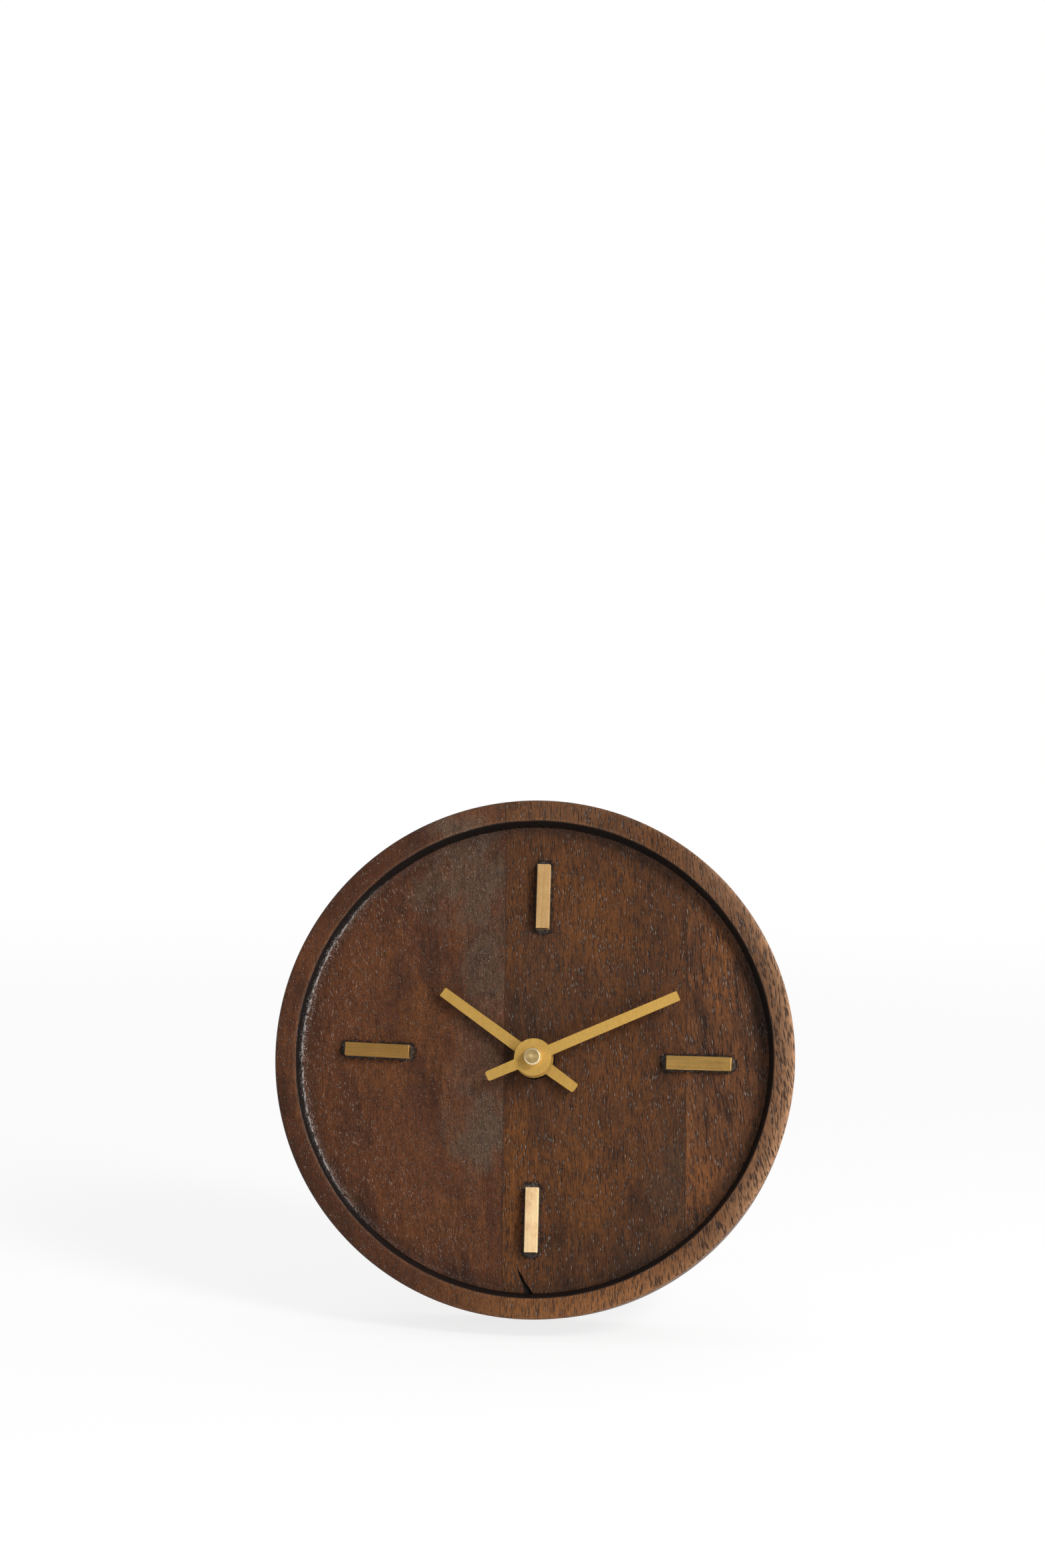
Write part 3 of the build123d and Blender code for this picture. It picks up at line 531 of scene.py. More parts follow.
wood = {
    # tones as they look, then the pores: share left out, and size across, along and into the wood
    "left": {
        "deep": tone(58, 30, 14), "middle": tone(83, 46, 23), "warm": tone(94, 54, 24),
        "grey": tone(77, 60, 46), "grain": 6.0,
        "poreShare": 0.48, "poreSize": (0.26, 1.3, 0.26), "poreDark": 0.55, "glint": 0.95, "dots": 1.0,
        "vessels": 0.16, "longPores": 0.15, "strokes": 0.8,
        # grey stains: centre x, y, half width, half height, strength
        "greyPlaces": [(-22, 55, 17, 15, 1.0), (-16, 28, 10, 14, 0.80), (-16, -24, 11, 15, 1.0),
                       (-15, 5, 9, 40, 0.50), (-28, 70.5, 10, 4.0, 1.0), (-11, 42, 6, 20, 0.5)],
        "warmPlaces": [(-36, 8, 12, 14, 0.7), (-48, -5, 8, 16, 0.6), (-25, -52, 14, 12, 0.5),
                       (-50, 25, 9, 14, 0.4)],
        "knot": (-17.0, 25.0, 1.5, 0.75),       # centre x, y, how tall for its width, strength
    },
    "middle": {
        "deep": tone(58, 32, 14), "middle": tone(81, 47, 21), "warm": tone(95, 55, 20),
        "grey": tone(62, 43, 28), "grain": 4.0,
        "poreShare": 0.24, "poreSize": (0.34, 3.4, 0.34), "poreDark": 0.95, "glint": 0.75, "dots": 0.30,
        "vessels": 0.44, "longPores": 0.85,
        "greyPlaces": [(43, -38, 7, 17, 0.75), (1, 22, 8, 26, 0.30), (36, -60, 8, 8, 0.4)],
        "warmPlaces": [(22, 46, 16, 16, 0.6), (15, -38, 20, 18, 0.65), (28, 2, 13, 20, 0.35),
                       (-5, -36, 4, 34, 0.9), (3, 55, 8, 14, 0.5)],
        # long dark checks in the wood: from x, y to x, y, then half width
        "checks": [(9, -10, 13, -9, 0.20), (-3, 58, -1.5, 44, 0.14), (2, -52, 3, -60, 0.12),
                   (9.8, -33.9, 9.9, -33.2, 0.5)],
    },
    "right": {
        "deep": tone(56, 31, 15), "middle": tone(86, 51, 26), "warm": tone(110, 66, 32),
        "grey": tone(60, 41, 28), "grain": 9.0,
        "poreShare": 0.26, "poreSize": (0.38, 4.4, 0.38), "poreDark": 1.0, "glint": 0.85, "dots": 0.25,
        "vessels": 0.62, "longPores": 1.0,
        "greyPlaces": [(50, -6, 3, 22, 0.4)],
        "warmPlaces": [(55, 28, 6, 20, 0.5), (53, -36, 6, 14, 0.6), (48.5, -16, 3, 36, 0.8)],
        "checks": [(49.5, 42, 51.5, 22, 0.24), (51.0, 18, 53.0, 3, 0.30), (56.3, -5, 61.2, -20, 0.42),
                   (58.4, -7, 62.5, -21, 0.30), (52.5, -9, 55.2, -30, 0.34), (50.4, -36, 52.8, -56, 0.26),
                   (60.5, 34, 62.4, 14, 0.28), (64.2, 8, 67.0, -12, 0.26), (54.8, -2, 58.0, -16, 0.24)],
    },
}
rim = {
    "pale": tone(156, 116, 84),
    "warm": tone(136, 86, 44),
    "paleTurn": -17.0,          # the paler side of the rim, partly sanding wear and partly painted light, faces this way, from 3 o'clock
    # painted shade and painted light: darker and paler stretches of the rim: centre x, y, half width, half height,
    # strength
    "paintedShadePlaces": [(-56, 56, 24, 24, 0.60), (-56, -56, 24, 22, 0.45), (58, -56, 20, 16, 0.30)],
    "paintedLightPlaces": [(8, 78, 44, 12, 0.12), (56, 56, 18, 18, 0.12)],
    "dark": tone(19, 14, 12),
}

# What the three boards share

woodClouds = {
    # size across, along and into the wood, detail, roughness, shift (None: the board's own),
    # then, if it is eased, from where to where, and what it gives there if that isn't 0 and 1
    "bend": ((16, 30, 16), 1, 0.5, None, 0.2, 0.8, -1.0, 1.0),
    "wander": ((7, 10, 7), 3, 0.6, (2, 2, 8)),
    "tone": ((12, 34, 12), 2, 0.5, None, 0.30, 0.62),
    "warmth": ((2.6, 16, 2.6), 2, 0.6, (4, 9, 1), 0.48, 0.75, 0.0, 0.45),
    "greyBreak": ((1.2, 5, 1.2), 2, 0.6, (9, 3, 3), 0.2, 0.7, 0.65, 1.0),
    "blotch": ((1.6, 3.2, 1.6), 3, 0.65, (7, 2, 5)),
    "fibre": ((0.42, 9, 0.42), 3, 0.6, (1, 3, 2)),
    "streak": ((0.22, 22, 0.22), 2, 0.5, (6, 1, 2)),
    "hair": ((0.26, 0.9, 0.26), 3, 0.75, (2, 7, 7)),
    "vessel": ((0.38, 16, 0.38), 3, 0.6, (8, 2, 1), 0.58, 0.72, 0.0),
    "glintDrift": ((5, 9, 5), 3, 0.6, (2, 9, 4), 0.34, 0.60, 0.40, 1.0),
    "glintBreak": ((0.7, 1.3, 0.7), 2, 0.6, (4, 4, 9), 0.34, 0.50, 0.0),
    "dotDrift": ((2.4, 3.4, 2.4), 2, 0.6, (1, 4, 4), 0.35, 0.65, 0.1),
    "bandWander": ((7, 7, 7), 2, 0.5, (3, 7, 1), 0.25, 0.75, -0.09, 0.09),
    "slotFuzz": ((0.9, 0.9, 0.9), 4, 0.75, (3, 7, 1), 0.25, 0.75, -1.1, 1.1),
    "beadHighlightBreak": ((2.2, 3.0, 2.2), 3, 0.7, (5, 5, 2), 0.36, 0.58),
    "threadHighlightBreak": ((0.8, 1.6, 0.8), 3, 0.7, (2, 5, 2), 0.42, 0.56),
    "coveLumps": ((0.42, 0.42, 0.42), 2, 0.6, (6, 6, 6)),
}
woodPores = {
    # size, share left out, shift, where a spot is full and where it ends
    "fine": ((0.22, 0.8, 0.22), 0.55, (8, 8, 3)),
    "long": ((0.62, 5.5, 0.62), 0.66, (2, 8, 5), 0.20, 0.40),
    "coarse": ((0.85, 3.2, 0.85), 0.30, (1, 6, 2)),
    "stroke": ((0.36, 2.6, 0.36), 0.40, (7, 3, 1), 0.07, 0.27),
    "dot": ((0.25, 0.34, 0.25), 0.76, (5, 2, 9), 0.12, 0.36),
    "beadHighlight": ((0.38, 0.50, 0.38), 0.35, (9, 5, 1), 0.16, 0.40),
}
woodMasks = {
    # where each mask begins and ends in mm, and its share there if that isn't 0 and 1
    "front": (-8.5, -7.5),
    "beforeBack": (-29.4, -28.8),
    # the rim's paler side and outer edge, partly sanding wear and partly painted light, and a painted highlight on
    # its inner edge
    "wearAndLightDepth": (-9, -1, 0.22, 1.0),
    "rim": (73.4, 74.1),
    "wearAndLightSide": (0, 88),
    "wearAndLightRadius": (74.0, 80.0, 0.30, 1.0),
    "edgeSide": (-40, 60),
    "edgeRadius": (78.6, 80.2, 0.0, 0.35),
    "arrisHighlightSide": (60, -60, 0.05, 0.12),
    "lowerY": (-30, -76),
    "lowerX": (-45, 10),
    "coarseSide": (30, 64),
    "coarseDepth": (-3.5, -1.5),
    "seam": (0.26, 0.08, 0.0, 0.55),
    "strokeX": (-6, -32),
    # painted shade on the floor by the recess wall
    "paintedShadeBand": (66.0, 71.8, 0.0, 0.30),
    "paintedShadeBandEnd": (73.6, 73.2),
    "bandDepth": (-7, -6),
    "slot": (2.25, 1.5, 0.0, 0.92),
    "beadHighlightX": (-44, -67, 0.0, 0.85),
}
woodBands = {
    # the radius in mm where each band begins, is full, starts to fade and ends
    # painted highlight on the rim's rounded inner edge
    "arrisHighlight": (73.55, 73.8, 74.0, 74.6),
    "stroke": (42, 66, 71.0, 72.5),
    "stain": (71.8, 72.2, 73.35, 73.7),
    # painted highlights in the left side of the cove
    "beadHighlight": (69.8, 71.4, 72.5, 73.0),
    "threadHighlight": (71.75, 71.95, 72.2, 72.45),
    "cove": (70.2, 71.3, 72.2, 73.0),
}
woodLook = {
    "blotch": (0.80, 1.18),     # the darkest and lightest share of the board's tone
    "fibre": 0.24,              # these three add to it and take from it
    "streak": 0.10,
    "hair": 0.42,
    "knotRings": (1.35, 0.14, 0.16),    # how tight the rings are, how strong, how dark the middle
    "coarseLean": -8.0,
    "glintShift": (0.11, 0.05, 0.0),
    "slotInset": 1.6,
    "pore": tone(30, 18, 12),
    "glint": tone(184, 168, 156),
    "beadHighlight": tone(196, 188, 182),
    "rough": (0.44, 0.56),
    "coveGloss": 0.28,
}


class WoodPad(FinishPad):
    # one board's finish, laid on in stages from the bare grain to the lacquer
    def __init__(self, name, look):
        super().__init__(name + "Wood")
        self.look = look
        self.seed = (len(name) * 3.7, len(name) * 1.9, 0.0)
        self.x, self.y, self.z = self.parts(self.place)
        self.flat = self.add("CombineXYZ", {0: self.x, 1: self.y}).outputs[0]
        self.radius = self.measure(self.flat)
        self.front = self.mask(self.z, "front")
        # the grain leans with the board and bends a little on the way up
        leaning = self.turned(self.place, -math.radians(look["grain"]))
        bend = self.add("CombineXYZ", {0: self.woodCloud("bend")}).outputs[0]
        self.grain = self.vector("ADD", leaning, bend)
        self.tilted = self.turned(self.grain, math.radians(woodLook["coarseLean"]))
        self.wander = self.woodCloud("wander")

    def mask(self, value, name):
        return self.ease(value, *woodMasks[name])

    def band(self, value, name):
        begins, full, fades, ends = woodBands[name]
        return self.times(self.ease(value, begins, full), self.ease(value, ends, fades))

    def woodCloud(self, name, *high, source=None):
        # a row without its last value gets it here, because it differs from board to board
        size, detail, rough, shift, *span = woodClouds[name]
        cloud = self.cloud(size, detail, rough, shift or self.seed, source)
        return self.ease(cloud, *span, *high) if span else cloud

    def grainCloud(self, name, *high):
        return self.woodCloud(name, *high, source=self.grain)

    def offsetFrom(self, x, y):
        return self.vector("SUBTRACT", self.flat, (x, y, 0))

    def leanOf(self, angle):
        # how far a point lies towards the given side, in degrees from 3 o'clock
        turn = math.radians(angle)
        return self.plus(self.times(self.x, math.cos(turn)), self.times(self.y, math.sin(turn)))

    def stain(self, share, colour):
        self.colour = self.blend(share, self.colour, colour)

    def spots(self, places, ragged):
        # soft patches of the given centres, half sizes and strengths, as one share
        shares = []
        for x, y, halfX, halfY, strength in places:
            scaled = self.vector("MULTIPLY", self.offsetFrom(x, y), (1 / halfX, 1 / halfY, 0))
            distance = self.plus(self.measure(scaled), self.ease(self.wander, 0.3, 0.7, -ragged, ragged))
            shares.append(self.ease(distance, 1.35, 0.2, 0.0, strength))
        return self.most(*shares)

    def checks(self, lines):
        # thin wandering dark lines between the given points, as one share
        shares = []
        for x1, y1, x2, y2, halfWidth in lines:
            length = math.hypot(x2 - x1, y2 - y1)
            offset = self.offsetFrom((x1 + x2) / 2, (y1 + y2) / 2)
            along, aside, _ = self.parts(self.turned(offset, -math.atan2(y2 - y1, x2 - x1)))
            aside = self.size(self.plus(aside, self.ease(self.fibre, 0.2, 0.8, -0.9, 0.9)))
            taper = self.ease(self.size(along), length / 2, length / 4)
            shares.append(self.times(self.ease(aside, halfWidth * 1.6, halfWidth * 0.5), taper))
        return self.most(*shares)

    def layTones(self):
        look = self.look
        self.colour = look["deep"]
        self.stain(self.grainCloud("tone"), look["middle"])
        warmth = self.plus(self.spots(look["warmPlaces"], 0.45), self.grainCloud("warmth"))
        self.stain(self.maths("MINIMUM", warmth, 1.0), look["warm"])
        self.greyShare = self.times(self.spots(look["greyPlaces"], 0.40), self.grainCloud("greyBreak"))
        self.stain(self.greyShare, look["grey"])

    def drawFibre(self):
        self.blotch, self.fibre, self.hair = [self.grainCloud(name) for name in ("blotch", "fibre", "hair")]
        shade = self.ease(self.blotch, 0.25, 0.75, *woodLook["blotch"])
        for cloud, name in ((self.fibre, "fibre"), (self.grainCloud("streak"), "streak"), (self.hair, "hair")):
            shade = self.plus(shade, self.ease(cloud, 0.25, 0.75, -woodLook[name], woodLook[name]))
        shade = self.minus(shade, self.grainCloud("vessel", self.look["vessels"]))
        if "knot" in self.look:
            # soft rings round the place where a branch began
            x, y, tall, strength = self.look["knot"]
            tight, ringShade, middleShade = woodLook["knotRings"]
            distance = self.measure(self.vector("MULTIPLY", self.offsetFrom(x, y), (1, 1 / tall, 0)))
            distance = self.plus(distance, self.ease(self.wander, 0.2, 0.8, -2.5, 2.5))
            ring = self.maths("SINE", self.times(distance, tight))
            shade = self.plus(shade, self.times(ring, self.ease(distance, 30, 5, 0.0, strength), ringShade))
            shade = self.minus(shade, self.ease(distance, 9, 1, 0.0, middleShade))
        self.colour = self.grade(self.colour, shade)

    def wearAndLightRim(self):
        # paler on the right side, partly where sanding cut through the stain and partly painted light where the
        # rim's face and outer edge turn to the lamps
        self.side = self.leanOf(rim["paleTurn"])
        self.onRim = self.mask(self.radius, "rim")
        nearFront = self.times(self.mask(self.z, "wearAndLightDepth"), self.mask(self.z, "beforeBack"))
        face = self.times(self.mask(self.side, "wearAndLightSide"), self.mask(self.radius, "wearAndLightRadius"))
        edge = self.times(self.mask(self.side, "edgeSide"), self.mask(self.radius, "edgeRadius"))
        face = self.times(self.plus(face, edge), self.onRim, self.ease(self.blotch, 0.2, 0.7, 0.5, 1.0))
        # painted highlight on the rim's rounded inner edge, stronger on the left side
        arrisHighlight = self.times(self.band(self.radius, "arrisHighlight"), self.mask(self.side, "arrisHighlightSide"))
        self.wornAndLit = self.times(self.plus(face, arrisHighlight), nearFront)
        onFront = self.times(self.onRim, nearFront)
        lower = self.times(self.mask(self.y, "lowerY"), self.mask(self.x, "lowerX"), onFront,
                           self.ease(self.blotch, 0.2, 0.7, 0.35, 0.65))
        self.stain(self.maths("MINIMUM", self.wornAndLit, 0.9), rim["pale"])
        self.stain(lower, rim["warm"])
        # painted light and painted shade in stretches round the rim, darker mostly on the left
        self.stain(self.times(self.spots(rim["paintedLightPlaces"], 0.3), onFront), rim["pale"])
        self.stain(self.times(self.spots(rim["paintedShadePlaces"], 0.3), onFront), self.look["deep"])

    def openPores(self):
        # short dashes along the grain, coarser on the rim's right side, then the glue joints
        look = self.look
        pore = self.pores(look["poreSize"], look["poreShare"], (3, 1, 7), source=self.grain)
        finePore = self.pores(*woodPores["fine"], source=self.grain)
        longPore = self.times(self.pores(*woodPores["long"], source=self.grain),
                              self.ease(self.fibre, 0.35, 0.65, look["longPores"], 0.35 * look["longPores"]))
        coarse = self.times(self.pores(*woodPores["coarse"], source=self.tilted), self.onRim,
                            self.mask(self.side, "coarseSide"), self.mask(self.z, "coarseDepth"))
        self.allPores = self.most(pore, coarse, self.times(finePore, 0.45))
        dark = self.most(self.times(pore, look["poreDark"]), self.times(coarse, 0.85),
                         self.times(finePore, 0.35), longPore)
        if "checks" in look:
            checks = self.checks(look["checks"])
            dark = self.most(dark, self.times(checks, 0.85))
            self.allPores = self.most(self.allPores, checks)
        across = self.leanOf(body["grainTurn"])
        for joint in (body["jointLeft"], body["jointRight"]):
            distance = self.size(self.minus(across, joint * math.cos(math.radians(body["grainTurn"]))))
            dark = self.most(dark, self.mask(distance, "seam"))
        self.stain(dark, woodLook["pore"])

    def addGlints(self):
        # painted highlights: glints of the lacquer painted beside the pores, in dots on the grey places, in
        # strokes by the rim
        look = self.look
        moved = self.vector("ADD", self.grain, woodLook["glintShift"])
        drift = self.grainCloud("glintDrift")
        glint = self.times(
            self.pores(look["poreSize"], min(look["poreShare"] + 0.10, 0.9), (3, 1, 7), 0.08, 0.27, moved),
            self.woodCloud("glintBreak", look["glint"]), drift)
        dots = self.times(self.pores(*woodPores["dot"], source=self.grain),
                          self.woodCloud("dotDrift", look["dots"]), self.plus(self.greyShare, 0.6), 0.7)
        glint = self.most(glint, dots)
        if "strokes" in look:
            nearRim = self.times(self.band(self.radius, "stroke"), self.mask(self.x, "strokeX"),
                                 self.front, drift)
            strokes = self.pores(*woodPores["stroke"], source=self.tilted)
            glint = self.most(glint, self.times(strokes, nearRim, look["strokes"]))
        self.stain(self.times(glint, self.ease(self.wornAndLit, 0.0, 0.6, 1.0, 0.3), 0.9), woodLook["glint"])

    def stainRecess(self):
        # dark stain on the recess wall, in its cove and round the routed slots, and painted shade fading in over
        # the floor towards the wall
        self.bandRadius = self.plus(self.radius, self.woodCloud("bandWander"))
        # painted shade on the floor, darkening towards the recess wall
        soft = self.times(self.mask(self.bandRadius, "paintedShadeBand"), self.mask(self.radius, "paintedShadeBandEnd"))
        share = self.most(self.band(self.bandRadius, "stain"), soft)
        share = self.times(share, self.mask(self.z, "bandDepth"))
        fuzz = self.woodCloud("slotFuzz")
        for name in barNodes:
            centre, along, halfLength, halfWidth, _ = barPlaces[name]
            local = self.turned(self.offsetFrom(centre.x, centre.y), -math.atan2(along.y, along.x))
            corner = (halfLength + bars["endGap"] - woodLook["slotInset"],
                      halfWidth + bars["sideGap"] - woodLook["slotInset"], 100)
            beyond = self.vector("SUBTRACT", self.vector("ABSOLUTE", local), corner)
            distance = self.plus(self.measure(self.vector("MAXIMUM", beyond, (0, 0, 0))), fuzz)
            share = self.most(share, self.mask(distance, "slot"))
        self.stain(self.times(share, self.front), rim["dark"])

    def addBeadHighlights(self):
        # painted highlights in the left side of the cove: glints on dried drops of lacquer, and a broken line of
        # painted shine along it
        beadHighlights = self.times(self.pores(*woodPores["beadHighlight"]), self.woodCloud("beadHighlightBreak"),
                           self.band(self.bandRadius, "beadHighlight"))
        threadHighlight = self.times(self.band(self.bandRadius, "threadHighlight"), self.woodCloud("threadHighlightBreak"), 0.62)
        share = self.times(self.most(beadHighlights, threadHighlight), self.front, self.mask(self.x, "beadHighlightX"))
        self.stain(share, woodLook["beadHighlight"])

    def shapeSurface(self):
        # relief of pores, fibre and sanding, and the glossier, lumpy lacquer in the cove
        inCove = self.band(self.bandRadius, "cove")
        relief = None
        for height, depth, strength in (
                (self.allPores, -0.20, 1.0), (self.fibre, 0.06, 0.8), (self.hair, 0.05, 0.8),
                (self.blotch, 0.10, 0.7), (self.times(self.woodCloud("coveLumps"), inCove), 0.30, 1.0)):
            relief = self.bump(height, depth, strength, relief)
        rough = self.minus(self.ease(self.blotch, 0.2, 0.8, *woodLook["rough"]),
                           self.times(inCove, woodLook["coveGloss"]))
        self.set(Base_Color=self.colour, Roughness=rough, Normal=relief, Specular_IOR_Level=0.18,
                 Coat_Weight=0.04, Coat_Roughness=0.15)


def woodFinish(name, look):
    pad = WoodPad(name, look)
    for stage in (pad.layTones, pad.drawFibre, pad.wearAndLightRim, pad.openPores, pad.addGlints,
                  pad.stainRecess, pad.addBeadHighlights, pad.shapeSurface):
        stage()
    return pad.material


def fillerFinish():
    pad = FinishPad("slotFiller")
    lumps = pad.cloud((0.5, 0.5, 0.5), 4, 0.65)
    colour = pad.blend(pad.ease(lumps, 0.38, 0.66), tone(14, 11, 10), tone(52, 38, 30))
    # painted highlights: pale glints scattered over the filler's lumps
    paintedGlintSpecks = pad.pores((0.34, 0.42, 0.34), 0.62, (2, 6, 3), 0.12, 0.36)
    colour = pad.blend(pad.times(paintedGlintSpecks, 0.55), colour, tone(150, 138, 130))
    pad.set(Base_Color=colour, Roughness=pad.ease(lumps, 0.3, 0.7, 0.2, 0.6),
            Normal=pad.bump(lumps, 0.18), Specular_IOR_Level=0.5)
    return pad.material


def cutWoodFinish(name, size, span, dark, light, rough, relief, shine):
    # wood without stain or lacquer, where the clock was cut or has split
    pad = FinishPad(name)
    grain = pad.cloud(size, 3, 0.6)
    pad.set(Base_Color=pad.blend(pad.ease(grain, *span), dark, light), Roughness=rough,
            Normal=pad.bump(grain, relief), Specular_IOR_Level=shine)
    return pad.material


fillerMaterial = fillerFinish()
wholeBody = buildBody([
    fillerMaterial,
    cutWoodFinish("rawWood", (0.5, 9, 0.5), (0.3, 0.7), tone(92, 62, 42), tone(126, 88, 60), 0.75, 0.06, 0.5),
    cutWoodFinish("splitWood", (0.3, 1.2, 0.3), (0.45, 0.75), tone(8, 6, 5), tone(34, 22, 15), 0.7, 0.15, 0.2),
])
print("body turned and routed:", len(wholeBody.data.polygons), "faces")
# each board loses what lies beyond its joints: 1 to the right of a joint, -1 to the left of it
sawBoard(wholeBody, "left", [(body["jointLeft"], 1)])
sawBoard(wholeBody, "middle", [(body["jointLeft"], -1), (body["jointRight"], 1)])
sawBoard(wholeBody, "right", [(body["jointRight"], -1)])
bpy.data.objects.remove(wholeBody)
print("three boards sawn")


# Brass

def brassFinish(name, colour, look, turn, edgeRough=None):
    # brushed brass: the look's strokes run along the piece's first direction, turned by an angle
    pad = FinishPad(name, turn)
    grain, rough = look["grain"], look["rough"]
    lines = pad.cloud(look["stroke"], 3, 0.6)
    patina = pad.cloud((3.5, 5.0, 3.5), 3, 0.6, (2, 4, 6))
    mottle = pad.cloud((0.5, 0.5, 0.5), 3, 0.6, (1, 1, 6))
    base = pad.blend(pad.ease(patina, 0.35, 0.75, 0.0, look["patina"]), colour, look["darkColour"])
    base = pad.grade(base, pad.plus(pad.ease(lines, 0.3, 0.7, 1 - grain, 1 + grain),
                                    pad.ease(mottle, 0.3, 0.7, -0.06, 0.06)))
    roughness = pad.ease(lines, 0.25, 0.75, rough - 0.05, rough + 0.08)
    if edgeRough:
        # the edges are filed smooth
        facing = pad.parts(pad.add("TexCoord").outputs["Normal"])[2]
        edgeShare = pad.ease(facing, 0.97, 0.85)
        roughness = pad.plus(pad.times(roughness, pad.minus(1.0, edgeShare)), pad.times(edgeShare, edgeRough))
    pad.set(Base_Color=base, Metallic=1.0, Roughness=roughness,
            Normal=pad.bump(lines, 0.01, 0.7), Anisotropic=look["anisotropy"],
            Tangent=pad.add("Tangent", direction_type="UV_MAP", uv_map="brushing").outputs[0])
    return pad.material


def layBrushing(piece, along):
    # a map whose first direction runs across the brush strokes
    layer = piece.data.uv_layers.new(name="brushing")
    acrossStroke = Vector((-along.y, along.x))
    for loop in piece.data.loops:
        point = piece.data.vertices[loop.vertex_index].co.xy
        layer.data[loop.index].uv = (point @ acrossStroke * 20, point @ along * 20)


def buildBar(name):
    centre, along, halfLength, halfWidth, (low, high) = barPlaces[name]
    acrossBar = Vector((-along.y, along.x))
    bm = bmesh.new()
    outline = [centre + along * a * halfLength + acrossBar * b * halfWidth
               for a, b in ((-1, -1), (1, -1), (1, 1), (-1, 1))]
    raisePrism(bm, outline, low, high)
    edges = [e for e in bm.edges if max(v.co.z for v in e.verts) > low + 0.1]
    bmesh.ops.bevel(bm, geom=edges, offset=bars["edge"], segments=3, profile=0.6, affect="EDGES")
    material = brassFinish(name + "Brass", bars[name], bars, math.degrees(math.atan2(along.x, along.y)))
    piece = makePiece(bm, "clock_" + name, [material], "case", (name,), 50)
    layBrushing(piece, along)
    evenShading(piece)


for barName in barNodes:
    buildBar(barName)


filler = {
    "drop": 0.3,                # how far it lies under the dial's floor
    "lumps": 0.24,
    "creep": 0.1,               # how far it climbs at the slot's edge
    "overlap": 0.03,            # into the slot's wall
    "bed": 0.02,                # over the slot's bottom
    "rings": 14,
    "steps": 220,
}


def buildFiller():
    bm = bmesh.new()
    floor = -body["recessDepth"]
    ringCount, stepCount = filler["rings"], filler["steps"]
    for name in barNodes:
        rings = []
        for share in [ring / ringCount for ring in range(ringCount + 1)]:
            ring = []
            for k in range(stepCount):
                p = slotPoint(name, share, k / stepCount, filler["overlap"])
                lump = uneven(p.x * 1.6, p.y * 1.6, 3.0) + 0.7 * uneven(p.x * 4, p.y * 4, 8.0)
                height = floor - filler["drop"] + filler["lumps"] * lump + filler["creep"] * share ** 6
                ring.append(bm.verts.new((p.x, p.y, height)))
            rings.append(ring)
        rings.append([bm.verts.new((v.co.x, v.co.y, floor - bars["sink"] + filler["bed"])) for v in rings[-1]])
        joinRings(bm, rings)
        bm.faces.new(rings[-1])
    bmesh.ops.remove_doubles(bm, verts=bm.verts, dist=1e-4)
    makePiece(bm, "clock_slot_filler", [fillerMaterial], "case", ("slot_filler",))


buildFiller()
print("bars set in their slots")

# Hands and cap nut

hands = {
    "width": 3.1,
    "tipRound": 0.15,
    "tailRound": 0.7,
    "thickness": 1.0,
    "colour": tone(206, 165, 88),
    "darkColour": tone(188, 147, 72),
    "stroke": (0.11, 2.6, 0.11),
    "rough": 0.47,
    "edgeRough": 0.2,
    "anisotropy": 0.35,
    "grain": 0.08,
    "patina": 0.15,
    "minute": {"reach": 48.3, "tail": 15.4, "hub": 5.75, "angle": 65.0, "hole": 1.02,
               "collar": (2.6, 1.62), "brush": 100.0, "edge": 0.10},
    "hour": {"reach": 35.0, "tail": 16.0, "hub": 6.1, "angle": 304.1, "hole": 2.52,
             "collar": (3.6, 2.52), "brush": 84.0, "edge": 0.20},
}


def handOutline(look):
    half = hands["width"] / 2
    hub = look["hub"]
    foot = math.sqrt(hub ** 2 - half ** 2)
    lean = math.asin(half / hub)
    tip, tail = [
        roundCorners([(foot * way, -half * way), (reach * way, -half * way), (reach * way, half * way),
                      (foot * way, half * way)], [0, rounding, rounding, 0], arcStep)
        for way, reach, rounding, arcStep in (
            (1, look["reach"], hands["tipRound"], 0.05), (-1, look["tail"], hands["tailRound"], 0.08))]
    steps = 40
    angles = [lean + (math.pi - 2 * lean) * k / steps for k in range(1, steps)]
    upper = [(hub * math.cos(a), hub * math.sin(a)) for a in angles]
    lower = [(-x, -y) for x, y in upper]
    return tip + upper + tail + lower


def buildHand(name, look, rider):
    node = name + "_hand"
    low, top = spread(dialPoints(node), 2)
    under = top - hands["thickness"]
    bm = bmesh.new()
    turn = math.radians(90 - look["angle"])
    outline = [(x * math.cos(turn) - y * math.sin(turn), x * math.sin(turn) + y * math.cos(turn))
               for x, y in handOutline(look)]
    raisePrism(bm, outline, under, top)
    edges = [e for e in bm.edges if abs(e.verts[0].co.z - e.verts[1].co.z) < 1e-5]
    bmesh.ops.bevel(bm, geom=edges, offset=look["edge"], segments=3, profile=0.5, affect="EDGES")
    material = brassFinish(name + "Brass", hands["colour"], hands, 90 - look["brush"], hands["edgeRough"])
    piece = makePiece(bm, "clock_" + node, [material], rider, (node,), 50)
    collarOut, collarIn = look["collar"]
    for part, radius, start, end, operation in (
            ("collar", collarOut, low, top - hands["thickness"] / 2, "UNION"),
            ("bore", collarIn, low - 1, under, "DIFFERENCE"),
            ("hole", look["hole"], low - 0.5, top + 1, "DIFFERENCE")):
        cutter = bmesh.new()
        raisePrism(cutter, circleOutline(radius), start, end)
        carve(piece, makePiece(cutter, part, [material], None), operation)
    piece.data.set_sharp_from_angle(angle=math.radians(50))
    layBrushing(piece, heading(math.radians(look["brush"])))
    evenShading(piece)


for name, rider in (("minute", "minute_works"), ("hour", "hour_works")):
    buildHand(name, hands[name], rider)

